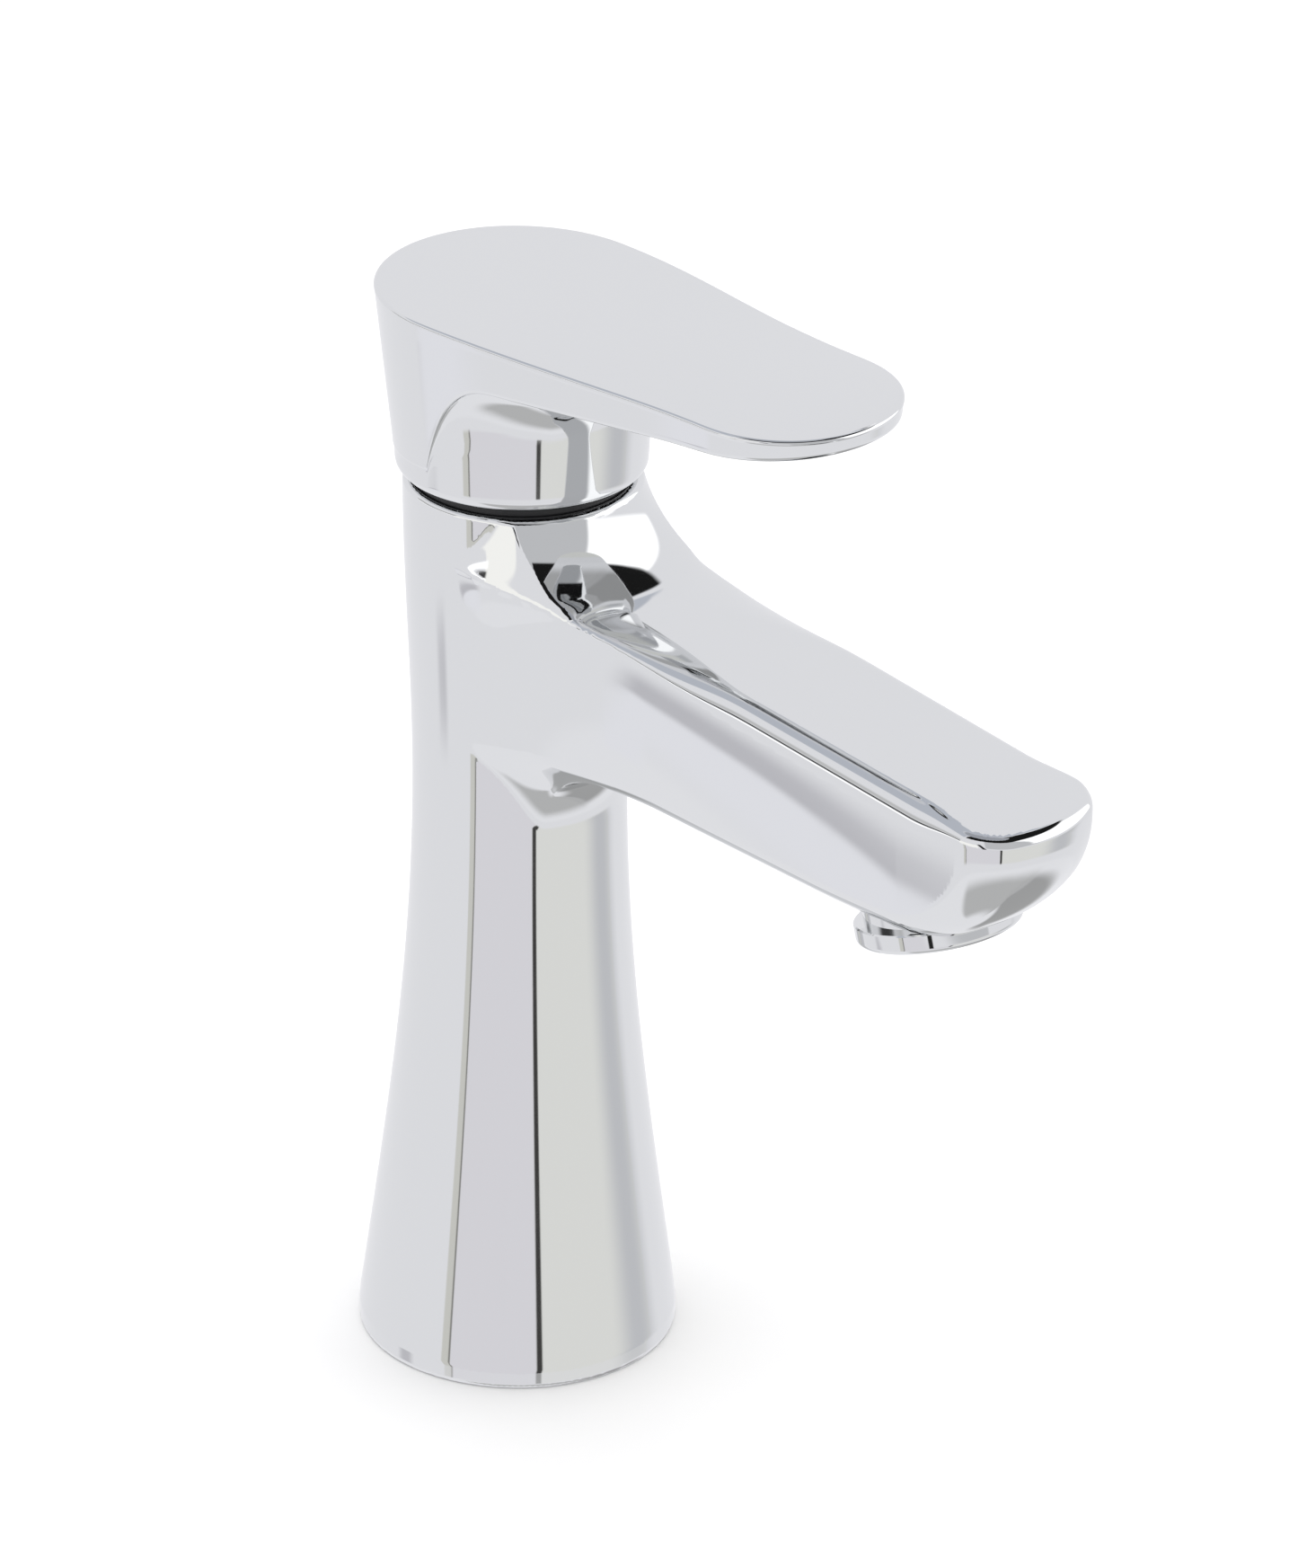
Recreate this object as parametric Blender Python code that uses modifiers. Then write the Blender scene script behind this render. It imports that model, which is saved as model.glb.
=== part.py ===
"""Single-lever basin mixer, built as the assembly that comes apart on a bench.

Units are metres, +Z is up.  The origin is the centre of the foot, on the deck plane.
The spout and the lever blade point along -Y, so the hot side is -X and the cold side +X.
"""
import bmesh
import bpy
from math import atan, cos, pi, radians, sin
from mathutils import Matrix, Vector

MM = 0.001
NAME = "basin_mixer"
GAP = 0.3 * MM                      # clearance between pieces that touch or slide

# --- casting ---------------------------------------------------------------------------
FOOT_RADIUS = 25.0 * MM
WAIST_RADIUS = 16.5 * MM
WAIST_HEIGHT = 95.0 * MM
NECK_RADIUS = 17.9 * MM
BODY_TOP = 145.0 * MM
FOOT_BULGE_HEIGHT = 3.0 * MM        # the foot is widest just above the deck
FOOT_EDGE = 0.8 * MM
FLARE_SWEEP = 0.58 * pi             # how much of a cosine wave the flare follows
NECK_POWER = 1.6                    # how late the neck swells out
TOP_EDGE = 1.0 * MM

SPOUT_REACH = 107.5 * MM            # foot centre to the front of the nose
SPOUT_HALF_WIDTH = 14.2 * MM
SPOUT_TOP_AT_AXIS = 137.6 * MM      # height of the spout's top line carried back to the axis
SPOUT_TOP_FALL = 0.138              # fall of the top line for each unit forward
SPOUT_UNDER_AT_AXIS = 105.0 * MM
SPOUT_UNDER_FALL = 0.038
CHIN_START = 87.0 * MM              # where the underside starts to sweep up to the nose
CHIN_FULLNESS = 1.9                 # 1 is a straight chamfer, 2 a quarter round
NOSE_LIP = 3.0 * MM                 # height of the front edge
NOSE_BOW = 4.5 * MM                 # how far the front edge bows forward
ROOT_FILLET = 11.0 * MM             # hollow between the neck and the spout's top
ROOT_START = 0.8 * NECK_RADIUS      # where that hollow starts, forward of the axis
SIDE_TAPER = 0.008                  # the spout narrows by this for each unit forward
SIDE_DRAFT = 0.05                   # and by this for each unit down
UPPER_ROUND = 2.4 * MM
LOWER_ROUND = 3.5 * MM
BOW_START = 60.0 * MM
CHANNEL_HALF = 7.5 * MM             # the water's way along the spout
CHANNEL_ROUND = 2.5 * MM

# --- water ways ------------------------------------------------------------------------
CHAMBER_RADIUS = 13.5 * MM
CHAMBER_FLOOR = 98.0 * MM
THREAD_RADIUS = 15.0 * MM
THREAD_BOTTOM = 133.5 * MM
PORT_X = 8.0 * MM                   # two threaded hose ports under the foot
PORT_RADIUS = 4.4 * MM
PORT_DEPTH = 14.0 * MM
WATERWAY_X = 6.4 * MM
WATERWAY_RADIUS = 2.5 * MM
STUD_Y = 13.0 * MM
STUD_RADIUS = 3.4 * MM
STUD_DEPTH = 15.0 * MM
SEAL_GROOVE = (19.2 * MM, 22.2 * MM, 1.7 * MM)

# --- outlet ----------------------------------------------------------------------------
OUTLET_TILT = radians(15.0)         # the jet leans forward
OUTLET_Y = -84.2 * MM
OUTLET_Z = 101.6 * MM               # centre of the outlet's flat face
OUTLET_BORE_RADIUS = 11.2 * MM
OUTLET_BORE_DEPTH = 10.5 * MM
OUTLET_COLLAR_RADIUS = 12.5 * MM
AERATOR_HEAD = 3.4 * MM             # the part of the aerator that shows

# --- cartridge -------------------------------------------------------------------------
CARTRIDGE_RADIUS = 12.4 * MM
BASE_BOTTOM = CHAMBER_FLOOR + GAP
BASE_TOP = 104.3 * MM
DISC_RADIUS = 10.6 * MM
DISC_BOTTOM = BASE_TOP + GAP
DISC_THICKNESS = 3.5 * MM
MOVING_DISC_RADIUS = 8.3 * MM
MOVING_DISC_BOTTOM = DISC_BOTTOM + DISC_THICKNESS + GAP
MOVING_DISC_THICKNESS = 3.0 * MM
CARRIER_BOTTOM = MOVING_DISC_BOTTOM + MOVING_DISC_THICKNESS + GAP
CARRIER_TOP = 117.9 * MM
HOUSING_BORE = 10.9 * MM
HOUSING_PLATE = 121.3 * MM          # underside of the housing's top plate
HOUSING_SHOULDER = 134.0 * MM
HOUSING_TOP = 138.0 * MM
HOUSING_NECK = 10.4 * MM
BUSH_RADIUS = 8.2 * MM
BUSH_FLANGE = 10.4 * MM
BUSH_TOP = 139.0 * MM

# --- lever -----------------------------------------------------------------------------
PIVOT_HEIGHT = 130.0 * MM           # the lever rocks on a pin at this height
LIFT_RANGE = radians(18.0)
DISC_ARM = 14.0 * MM                # pin to the ball that drives the discs
DISC_TRAVEL = DISC_ARM * LIFT_RANGE
PIN_RADIUS = 1.5 * MM
STEM_WIDTH = 6.0 * MM
STEM_TOP = 166.0 * MM
HUB_BOTTOM = 146.6 * MM
HUB_BOTTOM_RADIUS = 19.3 * MM
HUB_TOP_RADIUS = 22.1 * MM
HUB_BORE = 16.9 * MM
HUB_CEILING = 169.5 * MM
BOSS_RADIUS = 8.0 * MM
BOSS_BOTTOM = 152.5 * MM
LEVER_TOP = 175.8 * MM              # where the top plane crosses the axis
LEVER_FALL = 0.020                  # the top plane dips towards the tip
BLADE_REACH = 71.5 * MM
BLADE_TIP_HALF_WIDTH = 14.9 * MM
BLADE_EDGE = 2.9 * MM               # thickness at the tip
BLADE_ROOT_THICKNESS = 6.6 * MM
GRUB_Z = 158.0 * MM
GRUB_RADIUS = 2.4 * MM

FINE = 48                           # sides of a large turned piece
PLAIN = 32                          # sides of a small one

CHROME = ("chrome_plated_brass", (0.80, 0.82, 0.84), 0.06, 1.0)
CHROME_ZINC = ("chrome_plated_zinc", (0.81, 0.83, 0.85), 0.06, 1.0)
CHROME_CAP = ("chrome_plated_plastic", (0.80, 0.81, 0.83), 0.08, 1.0)
BRASS = ("turned_brass", (0.72, 0.55, 0.25), 0.30, 1.0)
STEEL = ("stainless_steel", (0.55, 0.56, 0.58), 0.28, 1.0)
CERAMIC = ("alumina_ceramic", (0.86, 0.86, 0.83), 0.20, 0.0)
ACETAL = ("white_acetal", (0.78, 0.78, 0.76), 0.45, 0.0)
GREY_ACETAL = ("grey_acetal", (0.36, 0.38, 0.40), 0.45, 0.0)
RED_ACETAL = ("red_acetal", (0.55, 0.06, 0.05), 0.45, 0.0)
BLACK_ACETAL = ("black_acetal", (0.02, 0.02, 0.022), 0.40, 0.0)
RUBBER = ("black_rubber", (0.025, 0.025, 0.025), 0.70, 0.0)


def clear_scene():
    for item in list(bpy.data.objects):
        bpy.data.objects.remove(item, do_unlink=True)


def make_collection(name):
    group = bpy.data.collections.get(name) or bpy.data.collections.new(name)
    if group.name not in bpy.context.scene.collection.children:
        bpy.context.scene.collection.children.link(group)
    return group


def material(spec):
    name, colour, roughness, metallic = spec
    found = bpy.data.materials.get(name)
    if found:
        return found
    made = bpy.data.materials.new(name)
    made.use_nodes = True
    shader = made.node_tree.nodes["Principled BSDF"]
    shader.inputs["Base Color"].default_value = (*colour, 1.0)
    shader.inputs["Roughness"].default_value = roughness
    shader.inputs["Metallic"].default_value = metallic
    made.diffuse_color = (*colour, 1.0)
    return made


def add_object(name, mesh, spec=None):
    """Link a mesh: a part when it has a material, otherwise a cutter that isn't drawn."""
    item = bpy.data.objects.new(name, mesh)
    if spec is None:
        CUTTERS.objects.link(item)
        item.hide_render = True
        item.display_type = "WIRE"
    else:
        PARTS.objects.link(item)
        mesh.materials.append(material(spec))
    return item


def arc(centre, radius, start, end, count):
    """Points on an arc in the (radius, height) plane, angles in degrees."""
    points = []
    for step in range(count + 1):
        angle = radians(start + (end - start) * step / count)
        points.append((centre[0] + radius * cos(angle), centre[1] + radius * sin(angle)))
    return points


def turned(name, profile, spec=None, steps=PLAIN, closed=False, at=(0, 0, 0), turn=None):
    """Turn a profile of (radius, height) points, listed down the outer side, about Z."""
    mesh = bpy.data.meshes.new(name)
    points = [(radius, 0.0, height) for radius, height in profile]
    edges = [(index, index + 1) for index in range(len(points) - 1)]
    if closed:
        edges.append((len(points) - 1, 0))
    mesh.from_pydata(points, edges, [])
    item = add_object(name, mesh, spec)
    item.location = at
    if turn:
        item.rotation_euler = turn
    screw = item.modifiers.new("turn", "SCREW")
    screw.steps = steps
    screw.render_steps = steps
    screw.use_merge_vertices = True
    screw.merge_threshold = 0.01 * MM
    screw.use_smooth_shade = True
    return item


def ring(name, inner, outer, bottom, top, spec=None, steps=PLAIN, at=(0, 0, 0), turn=None):
    profile = [(outer, top), (outer, bottom), (inner, bottom), (inner, top)]
    return turned(name, profile, spec, steps, True, at, turn)


def rod(name, radius, bottom, top, spec=None, steps=PLAIN, at=(0, 0, 0), turn=None):
    """A plain cylinder between two heights on its own axis."""
    mesh = bpy.data.meshes.new(name)
    shape = bmesh.new()
    bmesh.ops.create_cone(shape, cap_ends=True, segments=steps, radius1=radius, radius2=radius,
                          depth=top - bottom)
    bmesh.ops.translate(shape, vec=(0, 0, (top + bottom) / 2), verts=shape.verts)
    shape.to_mesh(mesh)
    shape.free()
    mesh.shade_smooth()
    mesh.set_sharp_from_angle(angle=radians(40))
    item = add_object(name, mesh, spec)
    item.location = at
    if turn:
        item.rotation_euler = turn
    return item


def block(name, low, high, spec=None):
    """A box between two corners."""
    mesh = bpy.data.meshes.new(name)
    shape = bmesh.new()
    bmesh.ops.create_cube(shape, size=1.0)
    size = [high[axis] - low[axis] for axis in range(3)]
    middle = [(high[axis] + low[axis]) / 2 for axis in range(3)]
    bmesh.ops.scale(shape, vec=size, verts=shape.verts)
    bmesh.ops.translate(shape, vec=middle, verts=shape.verts)
    shape.to_mesh(mesh)
    shape.free()
    return add_object(name, mesh, spec)


def lofted(name, sections, spec=None):
    """A closed solid through sections that have the same number of points."""
    mesh = bpy.data.meshes.new(name)
    shape = bmesh.new()
    rings = [[shape.verts.new(point) for point in section] for section in sections]
    count = len(rings[0])
    for near, far in zip(rings, rings[1:]):
        for index in range(count):
            after = (index + 1) % count
            shape.faces.new((near[index], near[after], far[after], far[index]))
    shape.faces.new(list(reversed(rings[0])))
    shape.faces.new(rings[-1])
    bmesh.ops.recalc_face_normals(shape, faces=shape.faces)
    shape.to_mesh(mesh)
    shape.free()
    return add_object(name, mesh, spec)


def combine(target, tool, operation="DIFFERENCE"):
    step = target.modifiers.new(tool.name, "BOOLEAN")
    step.operation = operation
    step.solver = "EXACT"
    step.object = tool
    return step


def cut(target, *tools):
    for tool in tools:
        combine(target, tool)
    return target


def join(target, *tools):
    for tool in tools:
        combine(target, tool, "UNION")
    return target


# --- casting ---------------------------------------------------------------------------
def body_radius(height):
    """Outline of the column: a flared foot, a waist and a slightly wider neck."""
    if height >= WAIST_HEIGHT:
        along = (height - WAIST_HEIGHT) / (BODY_TOP - WAIST_HEIGHT)
        return WAIST_RADIUS + (NECK_RADIUS - WAIST_RADIUS) * sin(along * pi / 2) ** NECK_POWER
    along = (WAIST_HEIGHT - height) / (WAIST_HEIGHT - FOOT_BULGE_HEIGHT)
    flare = (1 - cos(along * FLARE_SWEEP)) / (1 - cos(FLARE_SWEEP))
    return WAIST_RADIUS + (FOOT_RADIUS - WAIST_RADIUS) * flare


def column_profile():
    points = [(0.0, BODY_TOP), (NECK_RADIUS - TOP_EDGE, BODY_TOP)]
    points += [(NECK_RADIUS - 0.3 * TOP_EDGE, BODY_TOP - 0.3 * TOP_EDGE)]
    levels = 18
    top = BODY_TOP - TOP_EDGE
    for step in range(levels + 1):
        height = top + (FOOT_BULGE_HEIGHT - top) * step / levels
        points.append((body_radius(height), height))
    points += [(FOOT_RADIUS - 0.2 * FOOT_EDGE, FOOT_EDGE), (FOOT_RADIUS - FOOT_EDGE, 0.0)]
    points.append((0.0, 0.0))
    return points


def spout_top(forward):
    """Top line of the spout, with the hollow that runs up to the neck."""
    line = SPOUT_TOP_AT_AXIS - SPOUT_TOP_FALL * forward
    from_neck = (forward - ROOT_START) / ROOT_FILLET
    if from_neck >= 1:
        return line
    return line + 0.75 * ROOT_FILLET * (1 - max(from_neck, 0.0)) ** 2


def spout_under(forward):
    """Underside of the spout: nearly level, then round the chin up to the nose."""
    line = SPOUT_UNDER_AT_AXIS - SPOUT_UNDER_FALL * forward
    if forward <= CHIN_START:
        return line
    along = min((forward - CHIN_START) / (SPOUT_REACH - CHIN_START), 1.0)
    lip = SPOUT_TOP_AT_AXIS - SPOUT_TOP_FALL * SPOUT_REACH - NOSE_LIP
    return line + (lip - line) * (1 - (1 - along ** CHIN_FULLNESS) ** (1 / CHIN_FULLNESS))


def spout_section(forward):
    """A rounded box across the spout, wider at the top, bowed forward near the nose."""
    half = SPOUT_HALF_WIDTH - SIDE_TAPER * forward
    top = spout_top(forward)
    bottom = spout_under(forward)
    height = top - bottom
    upper = min(UPPER_ROUND, 0.45 * height)
    lower = min(LOWER_ROUND, 0.45 * height)
    low_half = half - SIDE_DRAFT * height
    points = [(0.0, top), (0.5 * half, top)]
    points += arc((half - upper, top - upper), upper, 90, 0, 4)
    points += arc((low_half - lower, bottom + lower), lower, 0, -90, 5)
    points += [(0.4 * low_half, bottom), (0.0, bottom)]
    points += [(-x, z) for x, z in reversed(points[1:-1])]
    bow = NOSE_BOW * max(0.0, (forward - BOW_START) / (SPOUT_REACH - BOW_START))
    return [(x, bow * (x / half) ** 2 - forward, z) for x, z in points]


def outlet_frame(along):
    """A point on the outlet's axis, that far up from its flat face."""
    return (0.0, OUTLET_Y + along * sin(OUTLET_TILT), OUTLET_Z + along * cos(OUTLET_TILT))


def build_body():
    body = turned("body_casting", column_profile(), CHROME, FINE)
    stations = [4, 10, 13, 15, 17, 19, 21.5, 24.5, 30, 42, 60, 78]
    stations += [87, 91, 95, 98.5, 101.5, 104, 106, 107.5]
    sections = [spout_section(station * MM) for station in stations]
    spout = lofted("spout_form", sections)
    lean = (-OUTLET_TILT, 0, 0)
    collar = rod("outlet_collar", OUTLET_COLLAR_RADIUS, 0, 9 * MM, None, FINE, outlet_frame(0), lean)
    join(body, spout, collar)

    lift = 1 * MM
    seat = THREAD_RADIUS + 1.9 * MM          # step that the black gap ring drops into
    seat_floor = BODY_TOP - 1.2 * MM
    chamber = turned("chamber_bore", [
        (0.0, BODY_TOP + lift), (seat, BODY_TOP + lift),
        (seat, seat_floor), (THREAD_RADIUS, seat_floor),
        (THREAD_RADIUS, THREAD_BOTTOM), (CHAMBER_RADIUS, THREAD_BOTTOM - 1.5 * MM),
        (CHAMBER_RADIUS, CHAMBER_FLOOR), (0.0, CHAMBER_FLOOR)], None, FINE)
    cut(body, chamber)
    channel = lofted("spout_channel", [
        channel_section(8 * MM, 110.5 * MM, 124 * MM),
        channel_section(88 * MM, 109.5 * MM, 118.5 * MM)])
    bore = rod("outlet_bore", OUTLET_BORE_RADIUS, -lift, OUTLET_BORE_DEPTH, None, FINE,
               outlet_frame(0), lean)
    clear = OUTLET_COLLAR_RADIUS + GAP
    face = rod("outlet_face", clear, -10 * MM, 0, None, FINE, outlet_frame(0), lean)
    cut(body, channel, bore, face)
    for side in (-1, 1):
        port = rod("hose_port", PORT_RADIUS, -lift, PORT_DEPTH, None, 32, (side * PORT_X, 0, 0))
        way = rod("waterway", WATERWAY_RADIUS, PORT_DEPTH - lift, CHAMBER_FLOOR + lift, None, 20,
                  (side * WATERWAY_X, 0, 0))
        cut(body, port, way)
    stud = rod("stud_socket", STUD_RADIUS, -lift, STUD_DEPTH, None, 24, (0, STUD_Y, 0))
    inner, outer, depth = SEAL_GROOVE
    groove = ring("seal_groove", inner, outer, -lift, depth, None, FINE)
    return cut(body, stud, groove)


def channel_section(forward, low, high):
    side = CHANNEL_HALF - CHANNEL_ROUND
    points = arc((side, high - CHANNEL_ROUND), CHANNEL_ROUND, 90, 0, 3)
    points += arc((side, low + CHANNEL_ROUND), CHANNEL_ROUND, 0, -90, 3)
    points += [(-x, z) for x, z in reversed(points)]
    return [(x, -forward, z) for x, z in points]


def build_base_seal():
    inner, outer, depth = SEAL_GROOVE
    ring("base_seal", inner + GAP, outer - GAP, 0.0, depth - GAP, RUBBER, FINE)


# --- outlet ----------------------------------------------------------------------------
def build_aerator():
    lean = (-OUTLET_TILT, 0, 0)
    at = outlet_frame(0)
    head = -AERATOR_HEAD
    screw = OUTLET_BORE_RADIUS - GAP
    wall = 1.3 * MM
    bead = 0.6 * MM
    mouth = 8.7 * MM
    lip = head + 1.2 * MM
    crest = 7.0 * MM
    collar = OUTLET_COLLAR_RADIUS
    turned("aerator_housing", [
        (screw, crest), (screw, -GAP), (collar, -GAP), (collar, head + bead),
        (collar - bead, head), (mouth, head), (mouth, lip),
        (screw - wall, lip), (screw - wall, crest)], CHROME, FINE, True, at, lean)
    reach = screw - wall - GAP
    base = lip + GAP
    insert = rod("aerator_insert", reach, base, 4.6 * MM, BLACK_ACETAL, PLAIN, at, lean)
    for row, count in ((3.0 * MM, 6), (6.6 * MM, 12)):
        for index in range(count):
            angle = 2 * pi * index / count
            place = Vector(at) + Matrix.Rotation(-OUTLET_TILT, 3, "X") @ Vector(
                (row * cos(angle), row * sin(angle), 0.0))
            cut(insert, rod("jet_hole", 1.0 * MM, base - MM, 5.6 * MM, None, 10, place, lean))
    screen = 4.6 * MM + GAP
    turned("aerator_screen", [
        (0.0, screen + 2.0 * MM), (3.0 * MM, screen + 1.8 * MM), (7.6 * MM, screen + 0.9 * MM),
        (reach, screen + 0.8 * MM), (reach, screen), (0.0, screen)], STEEL, PLAIN, False, at, lean)
    ring("aerator_washer", 8.2 * MM, screw, crest + GAP, 9.2 * MM, RUBBER, PLAIN, at, lean)


# --- cartridge -------------------------------------------------------------------------
def build_cartridge():
    seal_height = 1.6 * MM
    base = rod("cartridge_base", CARTRIDGE_RADIUS, BASE_BOTTOM, BASE_TOP, ACETAL)
    port = 2.3 * MM
    for side, label in ((-1, "hot"), (1, "cold")):
        x = side * WATERWAY_X
        cut(base, rod("base_port", port, BASE_BOTTOM - MM, BASE_TOP + MM, None, 20, (x, 0, 0)))
        cut(base, rod("seal_seat", 4.3 * MM, BASE_BOTTOM - MM, BASE_BOTTOM + seal_height,
                      None, 28, (x, 0, 0)))
        ring("port_seal_" + label, 2.7 * MM, 4.0 * MM, BASE_BOTTOM - 0.1 * MM,
             BASE_BOTTOM - 0.1 * MM + seal_height - 0.2 * MM, RUBBER, 28, (x, 0, 0))
    outlet = 2.8 * MM
    outlet_y = -6.0 * MM
    cut(base, rod("base_outlet", outlet, 100.8 * MM, BASE_TOP + MM, None, 24, (0, outlet_y, 0)))
    cut(base, block("base_window", (-3 * MM, -14 * MM, 100.9 * MM), (3 * MM, -6 * MM, 103.2 * MM)))

    fixed = rod("fixed_disc", DISC_RADIUS, DISC_BOTTOM, DISC_BOTTOM + DISC_THICKNESS, CERAMIC)
    for x, y, radius in ((-WATERWAY_X, 0, port), (WATERWAY_X, 0, port), (0, outlet_y, outlet)):
        cut(fixed, rod("disc_port", radius, DISC_BOTTOM - MM, DISC_BOTTOM + DISC_THICKNESS + MM,
                       None, 20, (x, y, 0)))

    back = DISC_TRAVEL / 2
    low = MOVING_DISC_BOTTOM
    moving = rod("moving_disc", MOVING_DISC_RADIUS, low, low + MOVING_DISC_THICKNESS, CERAMIC, 40,
                 (0, back, 0))
    cut(moving, rod("mixing_recess", 5.2 * MM, low - MM, low + 1.5 * MM, None, 32,
                    (0, back - 1.5 * MM, 0)))

    carrier = rod("disc_carrier", MOVING_DISC_RADIUS, CARRIER_BOTTOM, CARRIER_TOP, GREY_ACETAL, 40,
                  (0, back, 0))
    ball_z = PIVOT_HEIGHT - DISC_ARM
    cut(carrier, rod("ball_socket", 2.9 * MM, ball_z - 2.8 * MM, CARRIER_TOP + MM, None, 24))

    neck = HOUSING_NECK
    bore = BUSH_RADIUS + GAP
    groove_low = 124.6 * MM
    groove_high = 127.0 * MM
    groove = CARTRIDGE_RADIUS - 1.1 * MM
    turned("cartridge_housing", [
        (neck, HOUSING_TOP), (neck, HOUSING_SHOULDER), (CARTRIDGE_RADIUS, HOUSING_SHOULDER),
        (CARTRIDGE_RADIUS, groove_high), (groove, groove_high), (groove, groove_low),
        (CARTRIDGE_RADIUS, groove_low), (CARTRIDGE_RADIUS, DISC_BOTTOM), (HOUSING_BORE, DISC_BOTTOM),
        (HOUSING_BORE, HOUSING_PLATE), (bore, HOUSING_PLATE), (bore, HOUSING_TOP)], ACETAL, PLAIN, True)
    middle = (groove_low + groove_high) / 2
    inner = groove + GAP / 2
    outer = CHAMBER_RADIUS - GAP / 2
    section = arc(((inner + outer) / 2, middle), (outer - inner) / 2, 90, -270, 12)[:-1]
    turned("cartridge_o_ring", section, RUBBER, PLAIN, True)

    ring("temperature_stop_ring", BUSH_RADIUS + 2 * GAP, neck, HOUSING_TOP + GAP, HOUSING_TOP + 2.3 * MM,
         RED_ACETAL, 40)
    nut_bore = neck + 2 * GAP
    nut = turned("cartridge_nut", [
        (13.0 * MM, 147.0 * MM), (13.0 * MM, 143.0 * MM), (THREAD_RADIUS - GAP, 143.0 * MM),
        (THREAD_RADIUS - GAP, HOUSING_SHOULDER + GAP), (nut_bore, HOUSING_SHOULDER + GAP),
        (nut_bore, 147.0 * MM)], BRASS, PLAIN, True)
    for index in range(6):
        flat = block("nut_flat", (11.9 * MM, -9 * MM, 143.3 * MM), (16 * MM, 9 * MM, 149 * MM))
        flat.rotation_euler = (0, 0, index * pi / 3)
        cut(nut, flat)


def build_swivel():
    """The bush that turns in the housing, and the pin that the lever rocks on."""
    flange_low = CARRIER_TOP + 0.4 * MM
    flange_top = HOUSING_PLATE - GAP
    bush = turned("lever_bush", [
        (0.0, BUSH_TOP), (BUSH_RADIUS, BUSH_TOP), (BUSH_RADIUS, flange_top), (BUSH_FLANGE, flange_top),
        (BUSH_FLANGE, flange_low), (0.0, flange_low)], GREY_ACETAL, 40)
    half = STEM_WIDTH / 2 + 0.35 * MM
    slot = block("stem_slot", (-half, -6.7 * MM, flange_low - MM), (half, 6.7 * MM, BUSH_TOP + MM))
    across = (0, pi / 2, 0)
    hole = rod("pin_hole", PIN_RADIUS + GAP, -12 * MM, 12 * MM, None, 20, (0, 0, PIVOT_HEIGHT), across)
    cut(bush, slot, hole)
    reach = BUSH_RADIUS - GAP
    rod("pivot_pin", PIN_RADIUS, -reach, reach, STEEL, 20, (0, 0, PIVOT_HEIGHT), across)


# --- lever -----------------------------------------------------------------------------
def build_stem():
    half = STEM_WIDTH / 2
    stem = block("lever_stem", (-half, -half, PIVOT_HEIGHT - 7 * MM), (half, half, STEM_TOP), STEEL)
    ball_z = PIVOT_HEIGHT - DISC_ARM
    tail = turned("stem_tail", [(0.0, PIVOT_HEIGHT - 6 * MM), (2.0 * MM, PIVOT_HEIGHT - 6 * MM),
                                (2.0 * MM, ball_z + 1.5 * MM)]
                  + arc((0.0, ball_z), 2.5 * MM, 37, -90, 7), None, 24)
    hole = rod("stem_hole", PIN_RADIUS + GAP, -12 * MM, 12 * MM, None, 20, (0, 0, PIVOT_HEIGHT),
               (0, pi / 2, 0))
    join(stem, tail)
    cut(stem, hole)


def blade_half_width(forward):
    """Half the lever's width forward of the axis: a gentle taper, then the tip's round."""
    round_start = 55.0 * MM
    along = min(forward / round_start, 1.0)
    width = HUB_TOP_RADIUS + (BLADE_TIP_HALF_WIDTH - HUB_TOP_RADIUS) * (1 - cos(pi * along)) / 2
    if forward <= round_start:
        return width
    past = (forward - round_start) / (BLADE_REACH - round_start)
    return width * max(0.0, 1 - past ** 2.6) ** (1 / 2.1)


def blade_outline():
    """One side of the lever's plan from the tip back to the hub, as (half width, forward)."""
    forwards = [BLADE_REACH - fall * MM for fall in (0, 0.25, 0.9, 2.0, 3.6, 5.8, 9.0, 15.3)]
    forwards += [50 * MM - step * 6.25 * MM for step in range(9)]
    side = [(blade_half_width(forward), forward) for forward in forwards]
    inside = HUB_TOP_RADIUS - 1.2 * MM           # behind the axis the hub's own wall shows
    side += [(inside * cos(step * pi / 12), -inside * sin(step * pi / 12)) for step in range(1, 7)]
    return side


def blade_plate():
    """The flat top of the lever: level above, thinning towards the tip below."""
    side = blade_outline()
    outline = [(x, -forward) for x, forward in side]
    outline += [(-x, -forward) for x, forward in reversed(side[1:])]
    fall = (BLADE_ROOT_THICKNESS - BLADE_EDGE) / (BLADE_REACH - HUB_TOP_RADIUS)
    edge = 0.6 * MM

    def top(y):
        return LEVER_TOP + LEVER_FALL * y

    def thickness(y):
        return BLADE_EDGE + fall * (BLADE_REACH + y)

    def inset(x, y, amount):
        scale = 1 - amount / (Vector((x, y)).length + amount)
        return x * scale, y * scale

    crown = [(*inset(x, y, edge), top(y)) for x, y in outline]
    upper = [(x, y, top(y) - edge) for x, y in outline]
    lower = [(x, y, top(y) - thickness(y) + edge) for x, y in outline]
    bottom = [(*inset(x, y, edge), top(y) - thickness(y)) for x, y in outline]
    return lofted("blade_form", [bottom, lower, upper, crown])


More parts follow.
